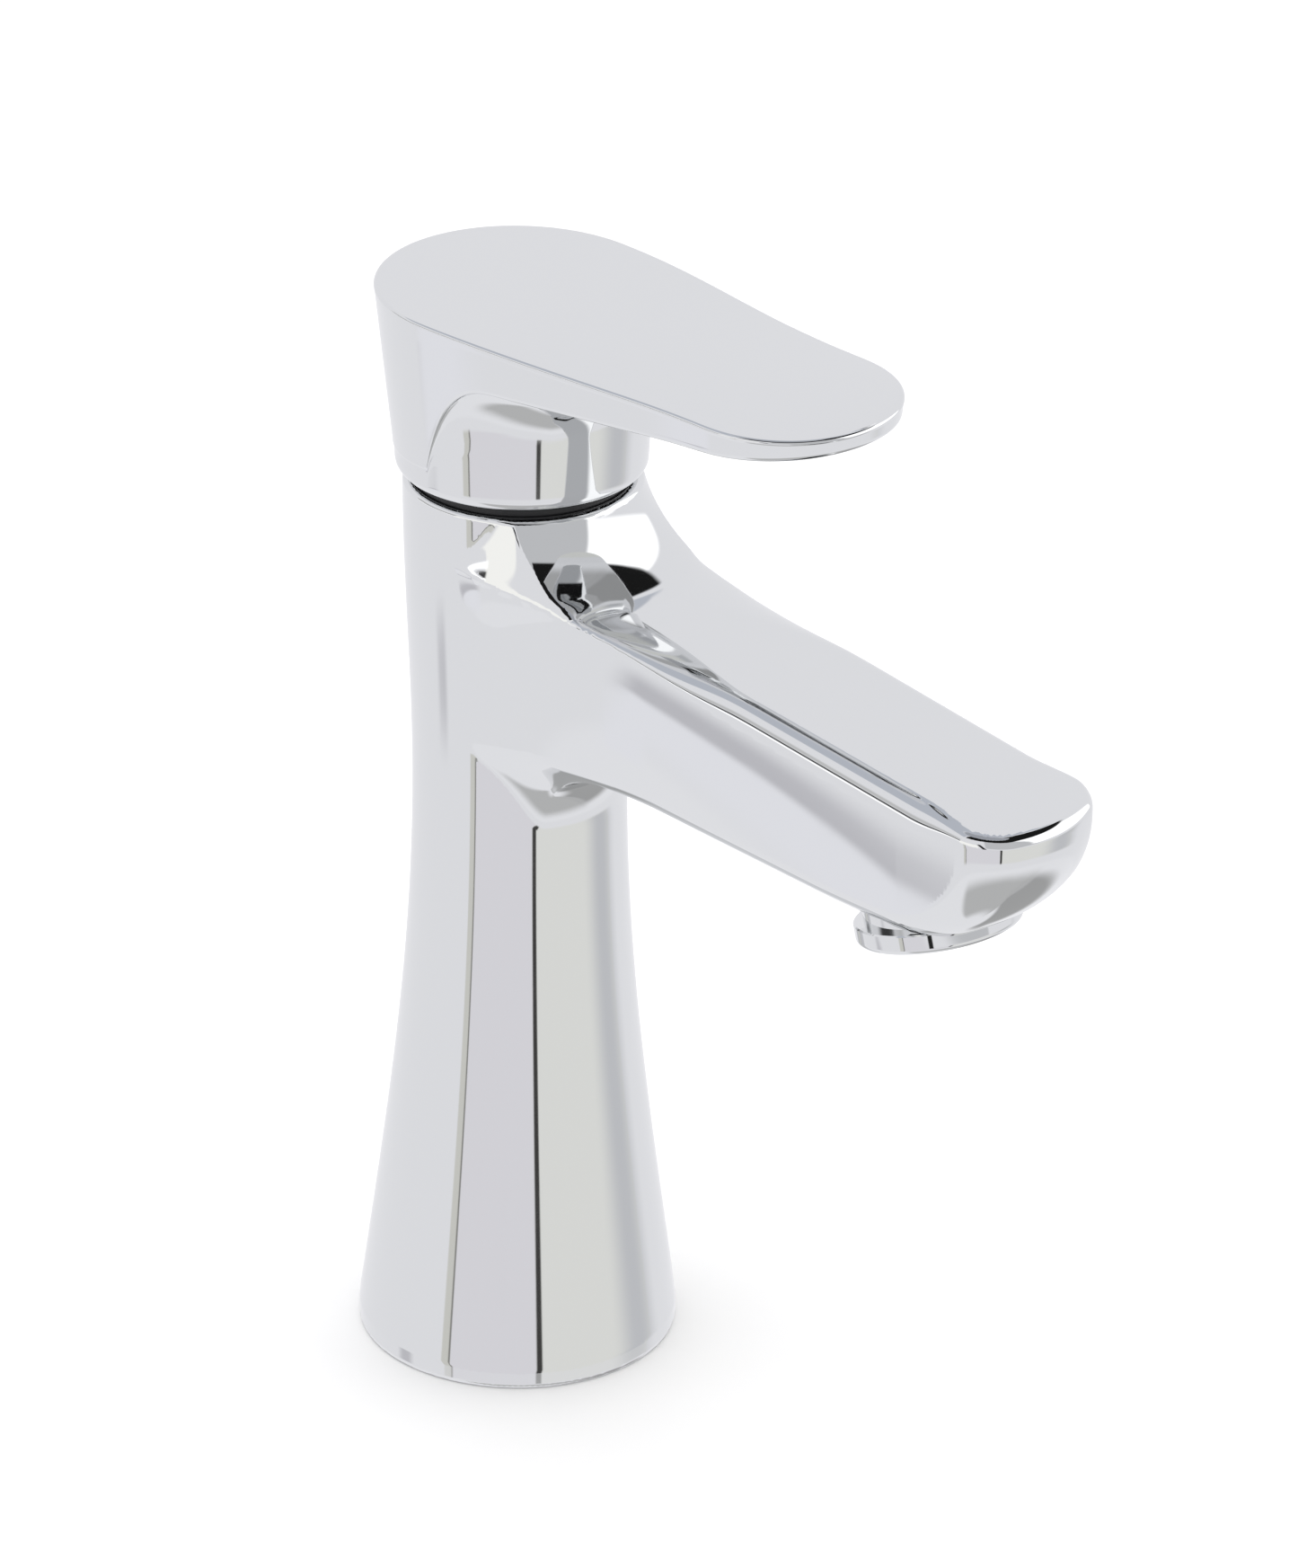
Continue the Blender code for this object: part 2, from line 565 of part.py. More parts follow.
def build_handle():
    edge = 1.6 * MM
    crest = LEVER_TOP + LEVER_FALL * HUB_TOP_RADIUS
    profile = [(0.0, crest + MM), (HUB_TOP_RADIUS, crest + MM),
               (HUB_TOP_RADIUS - 0.15 * MM, LEVER_TOP - 4 * MM),
               (HUB_BOTTOM_RADIUS, HUB_BOTTOM + 3.5 * MM),
               (HUB_BOTTOM_RADIUS - 0.35 * edge, HUB_BOTTOM + 0.8 * edge),
               (HUB_BOTTOM_RADIUS - edge, HUB_BOTTOM), (0.0, HUB_BOTTOM)]
    handle = turned("handle_lever", profile, CHROME_ZINC, FINE)
    trim = block("top_trim", (-30 * MM, -90 * MM, 0), (30 * MM, 40 * MM, 20 * MM))
    trim.location = (0, 0, LEVER_TOP)
    trim.rotation_euler = (atan(LEVER_FALL), 0, 0)
    cut(handle, trim)
    join(handle, blade_plate())
    cavity = turned("hub_cavity", [
        (BOSS_RADIUS, HUB_CEILING), (HUB_BORE, HUB_CEILING), (HUB_BORE, HUB_BOTTOM - MM),
        (0.0, HUB_BOTTOM - MM), (0.0, BOSS_BOTTOM), (BOSS_RADIUS, BOSS_BOTTOM)], None, FINE, True)
    half = STEM_WIDTH / 2 + GAP
    socket = block("stem_socket", (-half, -half, BOSS_BOTTOM - MM), (half, half, STEM_TOP + GAP))
    back = (-pi / 2, 0, 0)
    tunnel = rod("grub_tunnel", GRUB_RADIUS + GAP, 0, 30 * MM, None, 24, (0, 0, GRUB_Z), back)
    cut(handle, cavity, socket, tunnel)

    at = (0, 0, GRUB_Z)
    start = STEM_WIDTH / 2 + GAP
    screw = rod("lever_grub_screw", GRUB_RADIUS, start, start + 5.0 * MM, STEEL, 24, at, back)
    cut(screw, turned("grub_hex", [(0.0, start + 6 * MM), (1.4 * MM, start + 6 * MM),
                                   (1.4 * MM, start + 2.6 * MM), (0.0, start + 2.6 * MM)],
                      None, 6, False, at, back))
    outside = HUB_BOTTOM_RADIUS + 0.6 * MM
    rod("grub_screw_plug", GRUB_RADIUS, HUB_BORE + 0.4 * MM, outside, CHROME_CAP, 24, at, back)


def build_gap_ring():
    ring("gap_ring", THREAD_RADIUS + 0.1 * MM, THREAD_RADIUS + 1.6 * MM, BODY_TOP - 0.9 * MM,
         BODY_TOP + 1.1 * MM, BLACK_ACETAL, FINE)


def hang_on_axes():
    """Put what moves under empties that stand on the joints' axes."""
    groups = (
        ("lever_turn_axis", (0, 0, BODY_TOP), ("lever_bush", "pivot_pin")),
        ("lever_lift_axis", (0, 0, PIVOT_HEIGHT),
         ("lever_stem", "handle_lever", "lever_grub_screw", "grub_screw_plug")),
        ("disc_slide_axis", (0, DISC_TRAVEL / 2, MOVING_DISC_BOTTOM), ("disc_carrier", "moving_disc")),
    )
    for name, place, members in groups:
        axis = bpy.data.objects.new(name, None)
        axis.empty_display_size = 5 * MM
        PARTS.objects.link(axis)
        axis.location = place
        for member in members:
            item = bpy.data.objects[member]
            item.parent = axis
            item.matrix_parent_inverse = Matrix.Translation(-Vector(place))


clear_scene()
PARTS = make_collection(NAME)
CUTTERS = make_collection("cutters")
build_body()
build_base_seal()
build_aerator()
build_cartridge()
build_swivel()
build_stem()
build_handle()
build_gap_ring()
hang_on_axes()
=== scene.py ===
"""The finished look of a single-lever basin mixer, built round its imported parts.

Lengths are metres and +Z is up.  The foot's centre is the origin, and the spout and the lever
blade point along -Y.  Each operator makes one piece or a group of like pieces, and hands it to
the frame, which moves it with the right body.
"""
from math import cos, pi, radians, sin, sqrt

import bmesh
import bpy
import numpy as np
from bpy.props import FloatProperty, FloatVectorProperty, IntProperty, PointerProperty
from mathutils import Matrix, Vector


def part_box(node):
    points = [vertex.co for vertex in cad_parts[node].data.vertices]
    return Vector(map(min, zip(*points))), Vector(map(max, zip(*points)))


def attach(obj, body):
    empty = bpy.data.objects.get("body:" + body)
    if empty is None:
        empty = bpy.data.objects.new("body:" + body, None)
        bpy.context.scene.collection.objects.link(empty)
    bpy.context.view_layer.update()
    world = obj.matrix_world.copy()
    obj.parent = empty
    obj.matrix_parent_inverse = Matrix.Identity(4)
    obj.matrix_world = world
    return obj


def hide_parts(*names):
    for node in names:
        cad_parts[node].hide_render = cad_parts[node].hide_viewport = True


bl_info = {
    "name": "Basin mixer",
    "version": (1, 0, 0),
    "blender": (4, 5, 0),
    "location": "3D View > Sidebar > Basin mixer",
    "description": "Chrome skins, small fittings and studio for a single-lever basin mixer",
    "category": "Object",
}

MM = 0.001
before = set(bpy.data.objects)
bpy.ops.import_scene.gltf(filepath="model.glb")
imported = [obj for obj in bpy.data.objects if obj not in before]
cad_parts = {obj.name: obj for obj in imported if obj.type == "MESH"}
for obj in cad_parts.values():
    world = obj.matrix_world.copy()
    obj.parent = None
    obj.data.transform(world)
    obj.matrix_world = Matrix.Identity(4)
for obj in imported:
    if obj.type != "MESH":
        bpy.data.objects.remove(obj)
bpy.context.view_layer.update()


def lowest(node):
    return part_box(node)[0]


def highest(node):
    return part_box(node)[1]


FOOT_RADIUS = highest("body_casting")[0]
BODY_TOP = highest("body_casting")[2]
HANDLE_TOP = highest("handle_lever")[2]
SPOUT_REACH = -lowest("body_casting")[1]
HUB_BOTTOM = lowest("handle_lever")[2]


# --- sizes and colours that a user would change ---
def length(label, about, millimetres):
    return FloatProperty(name=label, description=about, default=millimetres * MM, unit="LENGTH",
                         precision=5, min=0.0)


def ratio(label, about, value):
    return FloatProperty(name=label, description=about, default=value, precision=4)


def angle(label, about, degrees):
    return FloatProperty(name=label, description=about, default=radians(degrees), unit="ROTATION",
                         subtype="ANGLE")


class BodySizes(bpy.types.PropertyGroup):
    """Outline of the casting: a flared column with a flat spout that grows out of its neck."""
    foot_radius: length("Foot radius", "Widest radius of the column, just above the deck", FOOT_RADIUS / MM)
    waist_radius: length("Waist radius", "Narrowest radius of the column", 16.5)
    waist_height: length("Waist height", "Height of the narrowest part", 95)
    neck_radius: length("Neck radius", "Radius at the top of the column", 17.9)
    top: length("Top", "Height of the column's top face", BODY_TOP / MM)
    reach: length("Spout reach", "From the column's axis to the front of the nose", SPOUT_REACH / MM)
    half_width: length("Spout half width", "Half the width of the spout ahead of its flare", 14.1)
    side_bow: length("Side bow", "How far the sides curve in towards the underside", 2.7)
    flare: length("Flare", "How far forward the spout's sides take to leave the column", 38)
    top_at_axis: length("Top line height", "Height of the spout's top line above the axis", 137.6)
    top_fall: ratio("Top line fall", "Fall of the top line for each unit forward", 0.138)
    under_at_axis: length("Under line height", "Height of the underside above the axis", 105)
    under_fall: ratio("Under line fall", "Fall of the underside for each unit forward", 0.038)
    chin_start: length("Chin start", "Where the underside starts to sweep up to the nose", 87)
    chin_fullness: ratio("Chin fullness", "1 is a straight chamfer and 2 a quarter round", 1.9)
    lip: length("Nose lip", "Height of the front edge above the chin", 3)
    bow: length("Nose bow", "How far the front edge bows forward", 4.5)
    edge_wide: length("Upper edge width", "Width of the easing along the spout's upper edges", 3.2)
    edge_deep: length("Upper edge depth", "Depth of that easing down the sides", 3.8)
    root_wide: length("Root edge width", "Width that the easing spreads to at the neck", 14.2)
    root_deep: length("Root edge depth", "Depth of the easing at the neck", 1.8)
    nose_round: length("Nose edge round", "Radius of the nose's upper edge", 1.7)
    under_round: length("Lower edge round", "Radius of the spout's lower edges", 3.5)
    root_blend: length("Root blend", "Reach of the hollow where the spout's top meets the neck", 14)
    under_blend: length("Under blend", "Reach of the hollow under the spout", 12)
    side_blend: length("Side blend", "Reach of the hollow where the sides leave the column", 2)
    face_size: length("Face size", "Side of the skin's small faces", 0.62)


class HandleSizes(bpy.types.PropertyGroup):
    """Outline of the lever: a round hub with a thin blade that grows out of its top."""
    hub_radius: length("Hub radius", "Radius of the hub's top edge", 22.1)
    hub_foot_radius: length("Hub foot radius", "Radius of the hub just above its lower edge", 19.3)
    hub_bottom: length("Hub bottom", "Height of the hub's lower rim", HUB_BOTTOM / MM)
    top: length("Top", "Height of the top plane above the axis", HANDLE_TOP / MM - 0.56)
    top_fall: ratio("Top fall", "Fall of the top plane for each unit forward", 0.025)
    crown: length("Crown", "How far the blade's edges lie below its middle", 0.5)
    reach: length("Blade reach", "From the axis to the blade's tip", 69.5)
    tip_half_width: length("Tip half width", "Half the width of the blade before its tip rounds", 17.6)
    tip_start: length("Tip start", "Where the rounding of the tip starts", 52)
    tip_thickness: length("Tip thickness", "Thickness of the blade at its tip", 2.9)
    thickening: ratio("Thickening", "Growth of the blade's thickness for each unit back", 0.086)
    draft: ratio("Draft", "How fast the outer wall draws in towards the bottom", 0.109)
    top_round: length("Top edge round", "Radius of the edge round the top face", 0.5)
    under_round: length("Under edge round", "Radius of the edge under the blade", 0.8)
    hollow_round: length("Hollow round", "Radius between the blade's underside and the hub", 9)
    foot_round: length("Foot round", "Radius of the hub's lower edge", 1.6)
    bore: length("Bore", "Radius of the hollow inside the hub", 16.9)


class OutletSizes(bpy.types.PropertyGroup):
    """The threaded ring and the jets that end the spout."""
    tilt: angle("Tilt", "Lean of the jet away from the column", 15)
    place: FloatVectorProperty(name="Place", description="Centre of the outlet's flat face",
                               default=(0.0, -84.2 * MM, 101.6 * MM), subtype="TRANSLATION", unit="LENGTH")
    collar: length("Collar radius", "Outer radius of the chrome ring", 12.5)
    head: length("Head", "Height of the ring below the spout", 3.4)
    inner_row: length("Inner row", "Radius of the inner row of jets", 3)
    outer_row: length("Outer row", "Radius of the outer row of jets", 6.6)
    inner_count: IntProperty(name="Inner jets", description="Jets in the inner row", default=6, min=1)
    outer_count: IntProperty(name="Outer jets", description="Jets in the outer row", default=12, min=1)


class Finishes(bpy.types.PropertyGroup):
    """Colours, as they look on a screen."""
    chrome: FloatVectorProperty(name="Chrome", description="Colour of the plating", subtype="COLOR_GAMMA",
                                default=(0.89, 0.893, 0.90), min=0, max=1)
    chrome_roughness: ratio("Chrome roughness", "0 is a perfect mirror", 0.035)


class StageSizes(bpy.types.PropertyGroup):
    """Camera and studio."""
    azimuth: angle("Camera azimuth", "Turn of the camera about the mixer", -47.5)
    elevation: angle("Camera elevation", "Height of the camera above the horizon", 26.1)
    roll: angle("Camera roll", "Turn of the camera about its own line of sight", 0.72)
    distance: length("Camera distance", "From the camera to the point it looks at", 1200)
    lens: ratio("Lens", "Focal length in millimetres on a 36 mm high frame", 179.73)
    aside: length("Aim aside", "How far right of the axis the camera aims", 19.8)
    aim_height: length("Aim height", "Height of the point that the camera looks at", 93)


# --- small helpers ---
def linear(code):
    """Turns an sRGB hex colour to the linear values that shaders want."""
    parts = [int(code[place:place + 2], 16) / 255 for place in (1, 3, 5)]
    return tuple(c / 12.92 if c <= 0.04045 else ((c + 0.055) / 1.055) ** 2.4 for c in parts)


def hex_of(colour):
    return "#" + "".join(f"{round(part * 255):02X}" for part in colour)


def add_node(tree, kind, settings=None, values=None, links=None):
    """Adds a node: settings are its own options, values its sockets, links the sockets fed.

    A link may start at a socket, or at a node, which stands for its first output.
    """
    node = tree.nodes.new(kind)
    for key, value in (settings or {}).items():
        setattr(node, key, value)
    for key, value in (values or {}).items():
        node.inputs[key].default_value = value
    for key, source in (links or {}).items():
        tree.links.new(getattr(source, "outputs", [source])[0], node.inputs[key])
    return node


def new_object(name, data):
    item = bpy.data.objects.new(name, data)
    bpy.context.scene.collection.objects.link(item)
    return item


def mesh_from(name, points, faces):
    mesh = bpy.data.meshes.new(name)
    mesh.from_pydata([tuple(point) for point in points], [], [tuple(face) for face in faces])
    mesh.validate()
    return mesh


def face_out(mesh):
    """Merges doubles and turns every face outwards."""
    shape = bmesh.new()
    shape.from_mesh(mesh)
    bmesh.ops.remove_doubles(shape, verts=shape.verts, dist=1e-7)
    bmesh.ops.recalc_face_normals(shape, faces=shape.faces)
    shape.to_mesh(mesh)
    shape.free()


def settled(item):
    """Bakes an object's modifiers into a plain mesh and removes them."""
    graph = bpy.context.evaluated_depsgraph_get()
    mesh = bpy.data.meshes.new_from_object(item.evaluated_get(graph), depsgraph=graph)
    old = item.data
    item.modifiers.clear()
    item.data = mesh
    mesh.name = item.name
    if old.users == 0:
        bpy.data.meshes.remove(old)
    return item


def gathered(items, key, wide=1, kind=float):
    """One property of every item in a mesh's collection, as an array with a row for each."""
    flat = np.empty(len(items) * wide, dtype=kind)
    items.foreach_get(key, flat)
    return flat.reshape(-1, wide) if wide > 1 else flat


def coordinates(mesh):
    return gathered(mesh.vertices, "co", 3)


def set_coordinates(mesh, points):
    mesh.vertices.foreach_set("co", points.ravel())
    mesh.update()


def smooth_step(share):
    share = np.clip(share, 0.0, 1.0)
    return share * share * (3 - 2 * share)


def eased(value, start, run):
    """Rises smoothly from 0 at the start to 1 at the end of the run, both in millimetres."""
    return smooth_step((value - start * MM) / (run * MM))


def mixed(first, second, share):
    return first + (second - first) * share


def in_mm(*pairs):
    """Section points given in millimetres."""
    return [(across * MM, up * MM) for across, up in pairs]


def quarter(count):
    """Even angles up to a quarter turn, without the first."""
    return [step * pi / (2 * count) for step in range(1, count + 1)]


def arc(centre, radius, start, end, count):
    """Points on an arc in the (radius, height) plane, angles in degrees."""
    angles = [radians(start + (end - start) * step / count) for step in range(count + 1)]
    return [(centre[0] + radius * cos(a), centre[1] + radius * sin(a)) for a in angles]


def turned(name, profile, steps, place=None, closed=False):
    """Turns (radius, height) points about Z; an open profile has its ends on the axis."""
    shape = bmesh.new()
    rows = []
    for radius, height in profile:
        if radius < 1e-9:
            rows.append([shape.verts.new((0, 0, height))])
            continue
        rows.append([shape.verts.new((radius * cos(2 * pi * step / steps),
                                      radius * sin(2 * pi * step / steps), height))
                     for step in range(steps)])
    pairs = list(zip(rows, rows[1:]))
    if closed:
        pairs.append((rows[-1], rows[0]))
    for upper, lower in pairs:
        for step in range(steps if max(len(upper), len(lower)) > 1 else 0):
            corners = [upper[step % len(upper)], upper[(step + 1) % len(upper)],
                       lower[(step + 1) % len(lower)], lower[step % len(lower)]]
            shape.faces.new(list(dict.fromkeys(corners)))
    bmesh.ops.recalc_face_normals(shape, faces=shape.faces)
    if place is not None:
        bmesh.ops.transform(shape, matrix=place, verts=shape.verts)
    mesh = bpy.data.meshes.new(name)
    shape.to_mesh(mesh)
    shape.free()
    return mesh


def carved(item, cutters):
    """Cuts every cutter mesh out of a piece."""
    tools = [new_object("cutter", mesh) for mesh in cutters]
    for tool in tools:
        step = item.modifiers.new("cut", "BOOLEAN")
        step.operation = "DIFFERENCE"
        step.solver = "MANIFOLD"
        step.object = tool
    settled(item)
    for tool in tools:
        bpy.data.objects.remove(tool, do_unlink=True)
    return item


def smooth_over(mesh, degrees=35):
    mesh.shade_smooth()
    mesh.set_sharp_from_angle(angle=radians(degrees))


def weighted(item):
    """Lets the large flat faces keep their own direction next to small rounded ones."""
    step = item.modifiers.new("weighted", "WEIGHTED_NORMAL")
    step.keep_sharp = True
    step.weight = 100
    return settled(item)


def finish_piece(item, body, slot, *nodes):
    """Gives a piece its finish and hands it to the frame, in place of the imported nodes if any."""
    item.data.materials.clear()
    item.data.materials.append(material_for(slot))
    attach(item, body)
    if nodes:
        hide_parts(*nodes)


# --- materials ---
def new_material(name):
    made = bpy.data.materials.new(name)
    made.use_nodes = True
    made.node_tree.nodes.clear()
    return made, made.node_tree


def close_material(tree, shader):
    add_node(tree, "ShaderNodeOutputMaterial", links={"Surface": shader})


def polished_chrome(name, code, roughness, wave=14.0, seed=0.0):
    """Bright decorative chrome over nickel, polished on a mop.

    To the eye it is a cool, slightly blue mirror.  The mop leaves shallow waves some 14 mm
    long that bend straight reflections a little, and fingers leave a faint uneven haze.
    """
    made, tree = new_material(name)
    where = add_node(tree, "ShaderNodeTexCoord")
    place = add_node(tree, "ShaderNodeMapping", values={"Location": (seed, seed, 0.0)},
                     links={"Vector": where.outputs["Object"]})
    haze = add_node(tree, "ShaderNodeTexNoise", links={"Vector": place},
                    values={"Scale": 1 / (9 * MM), "Detail": 4.0, "Roughness": 0.6})
    rough = add_node(tree, "ShaderNodeMapRange", links={"Value": haze},
                     values={"From Min": 0.3, "From Max": 0.75, "To Min": roughness * 0.7,
                             "To Max": roughness * 1.5})
    waves = add_node(tree, "ShaderNodeTexNoise", values={"Scale": 1 / (wave * MM), "Detail": 0.0},
                     links={"Vector": place})
    lift = add_node(tree, "ShaderNodeBump", values={"Strength": 0.10, "Distance": 0.05 * MM},
                    links={"Height": waves})
    shader = add_node(tree, "ShaderNodeBsdfPrincipled",
                      values={"Base Color": (*linear(code), 1.0), "Metallic": 1.0},
                      links={"Roughness": rough, "Normal": lift})
    close_material(tree, shader)
    return made


def mottled(name, code, roughness, grain, depth, metallic=0.0, tint=0.06, ior=None, stretch=(1, 1, 1)):
    """A base for the plainer finishes: fine relief and a slight drift of colour."""
    made, tree = new_material(name)
    where = add_node(tree, "ShaderNodeTexCoord")
    place = add_node(tree, "ShaderNodeMapping", values={"Scale": stretch},
                     links={"Vector": where.outputs["Object"]})
    texture = add_node(tree, "ShaderNodeTexNoise", values={"Scale": 1 / grain, "Detail": 3.0},
                       links={"Vector": place})
    drift = add_node(tree, "ShaderNodeTexNoise", values={"Scale": 1 / (6 * MM), "Detail": 2.0},
                     links={"Vector": place})
    colour = linear(code)
    ramp = add_node(tree, "ShaderNodeValToRGB", links={"Fac": drift})
    for stop, place_on_ramp, scale in zip(ramp.color_ramp.elements, (0.3, 0.7), (1 - tint, 1 + tint)):
        stop.position = place_on_ramp
        stop.color = (*[min(part * scale, 1.0) for part in colour], 1.0)
    rough = add_node(tree, "ShaderNodeMapRange", links={"Value": texture},
                     values={"To Min": roughness * 0.85, "To Max": roughness * 1.15})
    lift = add_node(tree, "ShaderNodeBump", values={"Strength": 0.5, "Distance": depth},
                    links={"Height": texture})
    values = {"Metallic": metallic}
    if ior:
        values["IOR"] = ior
    shader = add_node(tree, "ShaderNodeBsdfPrincipled", values=values,
                      links={"Base Color": ramp, "Roughness": rough, "Normal": lift})
    close_material(tree, shader)
    return made


def moulded_acetal(name, code):
    """Injection-moulded acetal: waxy and smooth, with a very fine spark-eroded bloom."""
    return mottled(name, code, 0.38, 0.25 * MM, 0.01 * MM, ior=1.48)


def moulded_rubber(name, code):
    """Moulded nitrile rubber: dull black with a dusty bloom, no sharp highlight."""
    return mottled(name, code, 0.72, 0.35 * MM, 0.02 * MM, tint=0.25, ior=1.52)


def turned_brass(name, code):
    """Bright-turned brass bar: yellow, with fine rings left by the tool."""
    return mottled(name, code, 0.28, 0.5 * MM, 0.01 * MM, metallic=1.0, tint=0.08, stretch=(0.2, 0.2, 4))


def drawn_steel(name, code):
    """Bright-drawn stainless bar: cool grey, with streaks along the draw."""
    return mottled(name, code, 0.26, 0.4 * MM, 0.008 * MM, metallic=1.0, tint=0.06, stretch=(3, 3, 0.2))


def lapped_ceramic(name, code):
    """Lapped alumina: ivory white, even, and glossy from the lapping."""
    return mottled(name, code, 0.16, 0.2 * MM, 0.004 * MM, tint=0.03, ior=1.76)


def make_materials():
    tones = bpy.context.scene.mixer_finishes
    code = hex_of(tones.chrome)
    return {
        "chrome_plated_brass": polished_chrome("polished chrome on brass", code, tones.chrome_roughness),
        "chrome_plated_zinc": polished_chrome("polished chrome on zinc", code, tones.chrome_roughness,
                                              wave=18.0, seed=0.3),
        "chrome_plated_cap": polished_chrome("chrome on moulded cap", "#DCDEE2", 0.07, wave=4.0, seed=0.7),
        "turned_brass": turned_brass("bright turned brass", "#C9A45C"),
        "stainless_steel": drawn_steel("bright drawn stainless steel", "#BFC2C6"),
        "alumina_ceramic": lapped_ceramic("lapped alumina", "#EFEDE4"),
        "white_acetal": moulded_acetal("white moulded acetal", "#E4E4DF"),
        "grey_acetal": moulded_acetal("grey moulded acetal", "#A3A7AB"),
        "red_acetal": moulded_acetal("red moulded acetal", "#B8302A"),
        "black_acetal": moulded_acetal("black moulded acetal", "#1B1B1D"),
        "black_rubber": moulded_rubber("black moulded rubber", "#1E1E1E"),
    }


MATERIALS = {}


def material_for(slot):
    if not MATERIALS:
        MATERIALS.update(make_materials())
    return MATERIALS[slot]


# --- the casting's skin ---
def rounded_meet(first, second, radius):
    """Distance to the solid inside both faces, with their common edge rounded."""
    outside = np.hypot(np.maximum(first + radius, 0.0), np.maximum(second + radius, 0.0))
    return outside + np.minimum(np.maximum(first, second) + radius, 0.0) - radius


def eased_meet(side, crown, wide, deep):
    """Like rounded_meet, with an ellipse as wide on the crown and as deep down the side as asked."""
    across = np.maximum(side / wide + 1, 0.0)
    down = np.maximum(crown / deep + 1, 0.0)
    size = np.sqrt(across ** 2 + down ** 2 + 1e-12)
    slope = np.hypot(across / wide, down / deep) / size
    easing = (size - 1) / np.maximum(slope, 1e-3)
    return np.where((across > 0) & (down > 0), easing, np.maximum(side, crown))


def blended(first, second, reach):
    """Distance to the solid inside either one, with the hollow between them filled."""
    near = np.maximum(reach - np.abs(first - second), 0.0) / reach
    return np.minimum(first, second) - near * near * reach / 4


def column_radius(sizes, height):
    """A short rise above the waist, and a long flare below it that rolls in at the deck."""
    flare = 0.58 * pi
    bulge = 3 * MM
    up = np.clip((height - sizes.waist_height) / (sizes.top - sizes.waist_height), 0, 1)
    down = np.clip((sizes.waist_height - height) / (sizes.waist_height - bulge), 0, 1)
    swell = (sizes.neck_radius - sizes.waist_radius) * np.sin(up * pi / 2) ** 2
    spread = (sizes.foot_radius - sizes.waist_radius) * (1 - np.cos(down * flare)) / (1 - cos(flare))
    return sizes.waist_radius + swell + spread


def chin_distance(sizes, forward, z):
    """Distance below the underside, which sweeps up to the nose's lip."""
    run = sizes.reach - sizes.chin_start
    power = sizes.chin_fullness
    under = sizes.under_at_axis - sizes.under_fall * forward
    lip = sizes.top_at_axis - sizes.top_fall * sizes.reach - sizes.lip
    rise = lip - under
    ahead = np.maximum(forward - sizes.chin_start, 0.0) / run
    below = np.maximum(lip - z, 0.0) / rise
    tiny = 1e-9
    size = (ahead ** power + below ** power + tiny) ** (1 / power)
    slope = np.hypot((ahead / size) ** (power - 1) / run, (below / size) ** (power - 1) / rise)
    return (size - 1) / np.maximum(slope, 1 / (2 * rise))


def upper_edge(sizes, forward):
    """Width and depth of the easing along the spout's top: broad at the neck, small at the nose."""
    to_neck = 1 - eased(forward, 20, 38)
    at_nose = eased(forward - sizes.reach, -15, 11)
    return [mixed(mixed(plain, root, to_neck), sizes.nose_round, at_nose)
            for plain, root in ((sizes.edge_wide, sizes.root_wide), (sizes.edge_deep, sizes.root_deep))]


def spout_distance(sizes, x, y, z):
    """The spout's sides leave the column in a flare, run ahead almost level and end in a bow."""
    draft = 0.008
    inset = 1.1 * MM
    bow_start = 60 * MM
    side_depth = 25 * MM
    flatter = 0.6
    forward = -y
    bow = sizes.bow * np.maximum(0.0, (forward - bow_start) / (sizes.reach - bow_start))
    ahead = smooth_step(forward / sizes.flare)
    half = sizes.half_width - draft * np.maximum(forward, 0.0)
    half = mixed(half, column_radius(sizes, z) - inset, 1 - ahead)
    forward = forward + bow * (x / half) ** 2
    top = sizes.top_at_axis - sizes.top_fall * forward
    down = np.maximum(top - z, 0.0)
    hollow = sizes.side_bow - flatter * sizes.side_bow * np.clip((forward - 30 * MM) / (60 * MM), 0, 1)
    side = np.abs(x) - (half - ahead * hollow * (down / side_depth) ** 2)
    crown = (z - top) / sqrt(1 + sizes.top_fall ** 2)
    low_round = sizes.under_round + 1.5 * MM * eased(forward, 70, 30)
    lower = rounded_meet(side, chin_distance(sizes, forward, z), low_round)
    return eased_meet(lower, crown, *upper_edge(sizes, forward))


def root_reach(sizes, x, y, z):
    """Reach of the hollow round the spout's root: long above and below, short at the sides."""
    aside = np.abs(x)
    least = 0.4 * MM
    cut_above = 0.8
    cut_below = 0.9
    high = eased(z, 127, 8) * (1 - cut_above * eased(aside, 14, 4))
    low = (1 - eased(z, 105, 9)) * (1 - cut_below * eased(aside, 9, 6))
    reach = mixed(sizes.side_blend, sizes.root_blend, high)
    reach = reach + (sizes.under_blend - sizes.side_blend) * low
    return least + reach * eased(-y, 1, 9)


def body_distance(sizes, points):
    spout_start = 2 * MM
    rim_round = 0.8 * MM
    x, y, z = points.T
    column = np.hypot(x, y) - column_radius(sizes, z)
    spout = np.maximum(spout_distance(sizes, x, y, z), y + spout_start)
    skin = blended(column, spout, root_reach(sizes, x, y, z))
    ends = np.maximum(z - sizes.top, -z)
    return rounded_meet(skin, ends, rim_round)


def gradient(distance, points):
    step = 0.02 * MM
    parts = []
    for axis in range(3):
        nudge = np.zeros(3)
        nudge[axis] = step
        parts.append((distance(points + nudge) - distance(points - nudge)) / (2 * step))
    return np.stack(parts, axis=1)


def drawn_to(distance, points, rounds):
    """Moves points down the gradient until they lie where the distance is zero."""
    least_square = 0.05
    furthest = 2 * MM
    for _ in range(rounds):
        slope = gradient(distance, points)
        move = distance(points) / np.maximum((slope ** 2).sum(axis=1), least_square)
        move = np.clip(move, -furthest, furthest)
        points = points - slope * move[:, None]
    return points


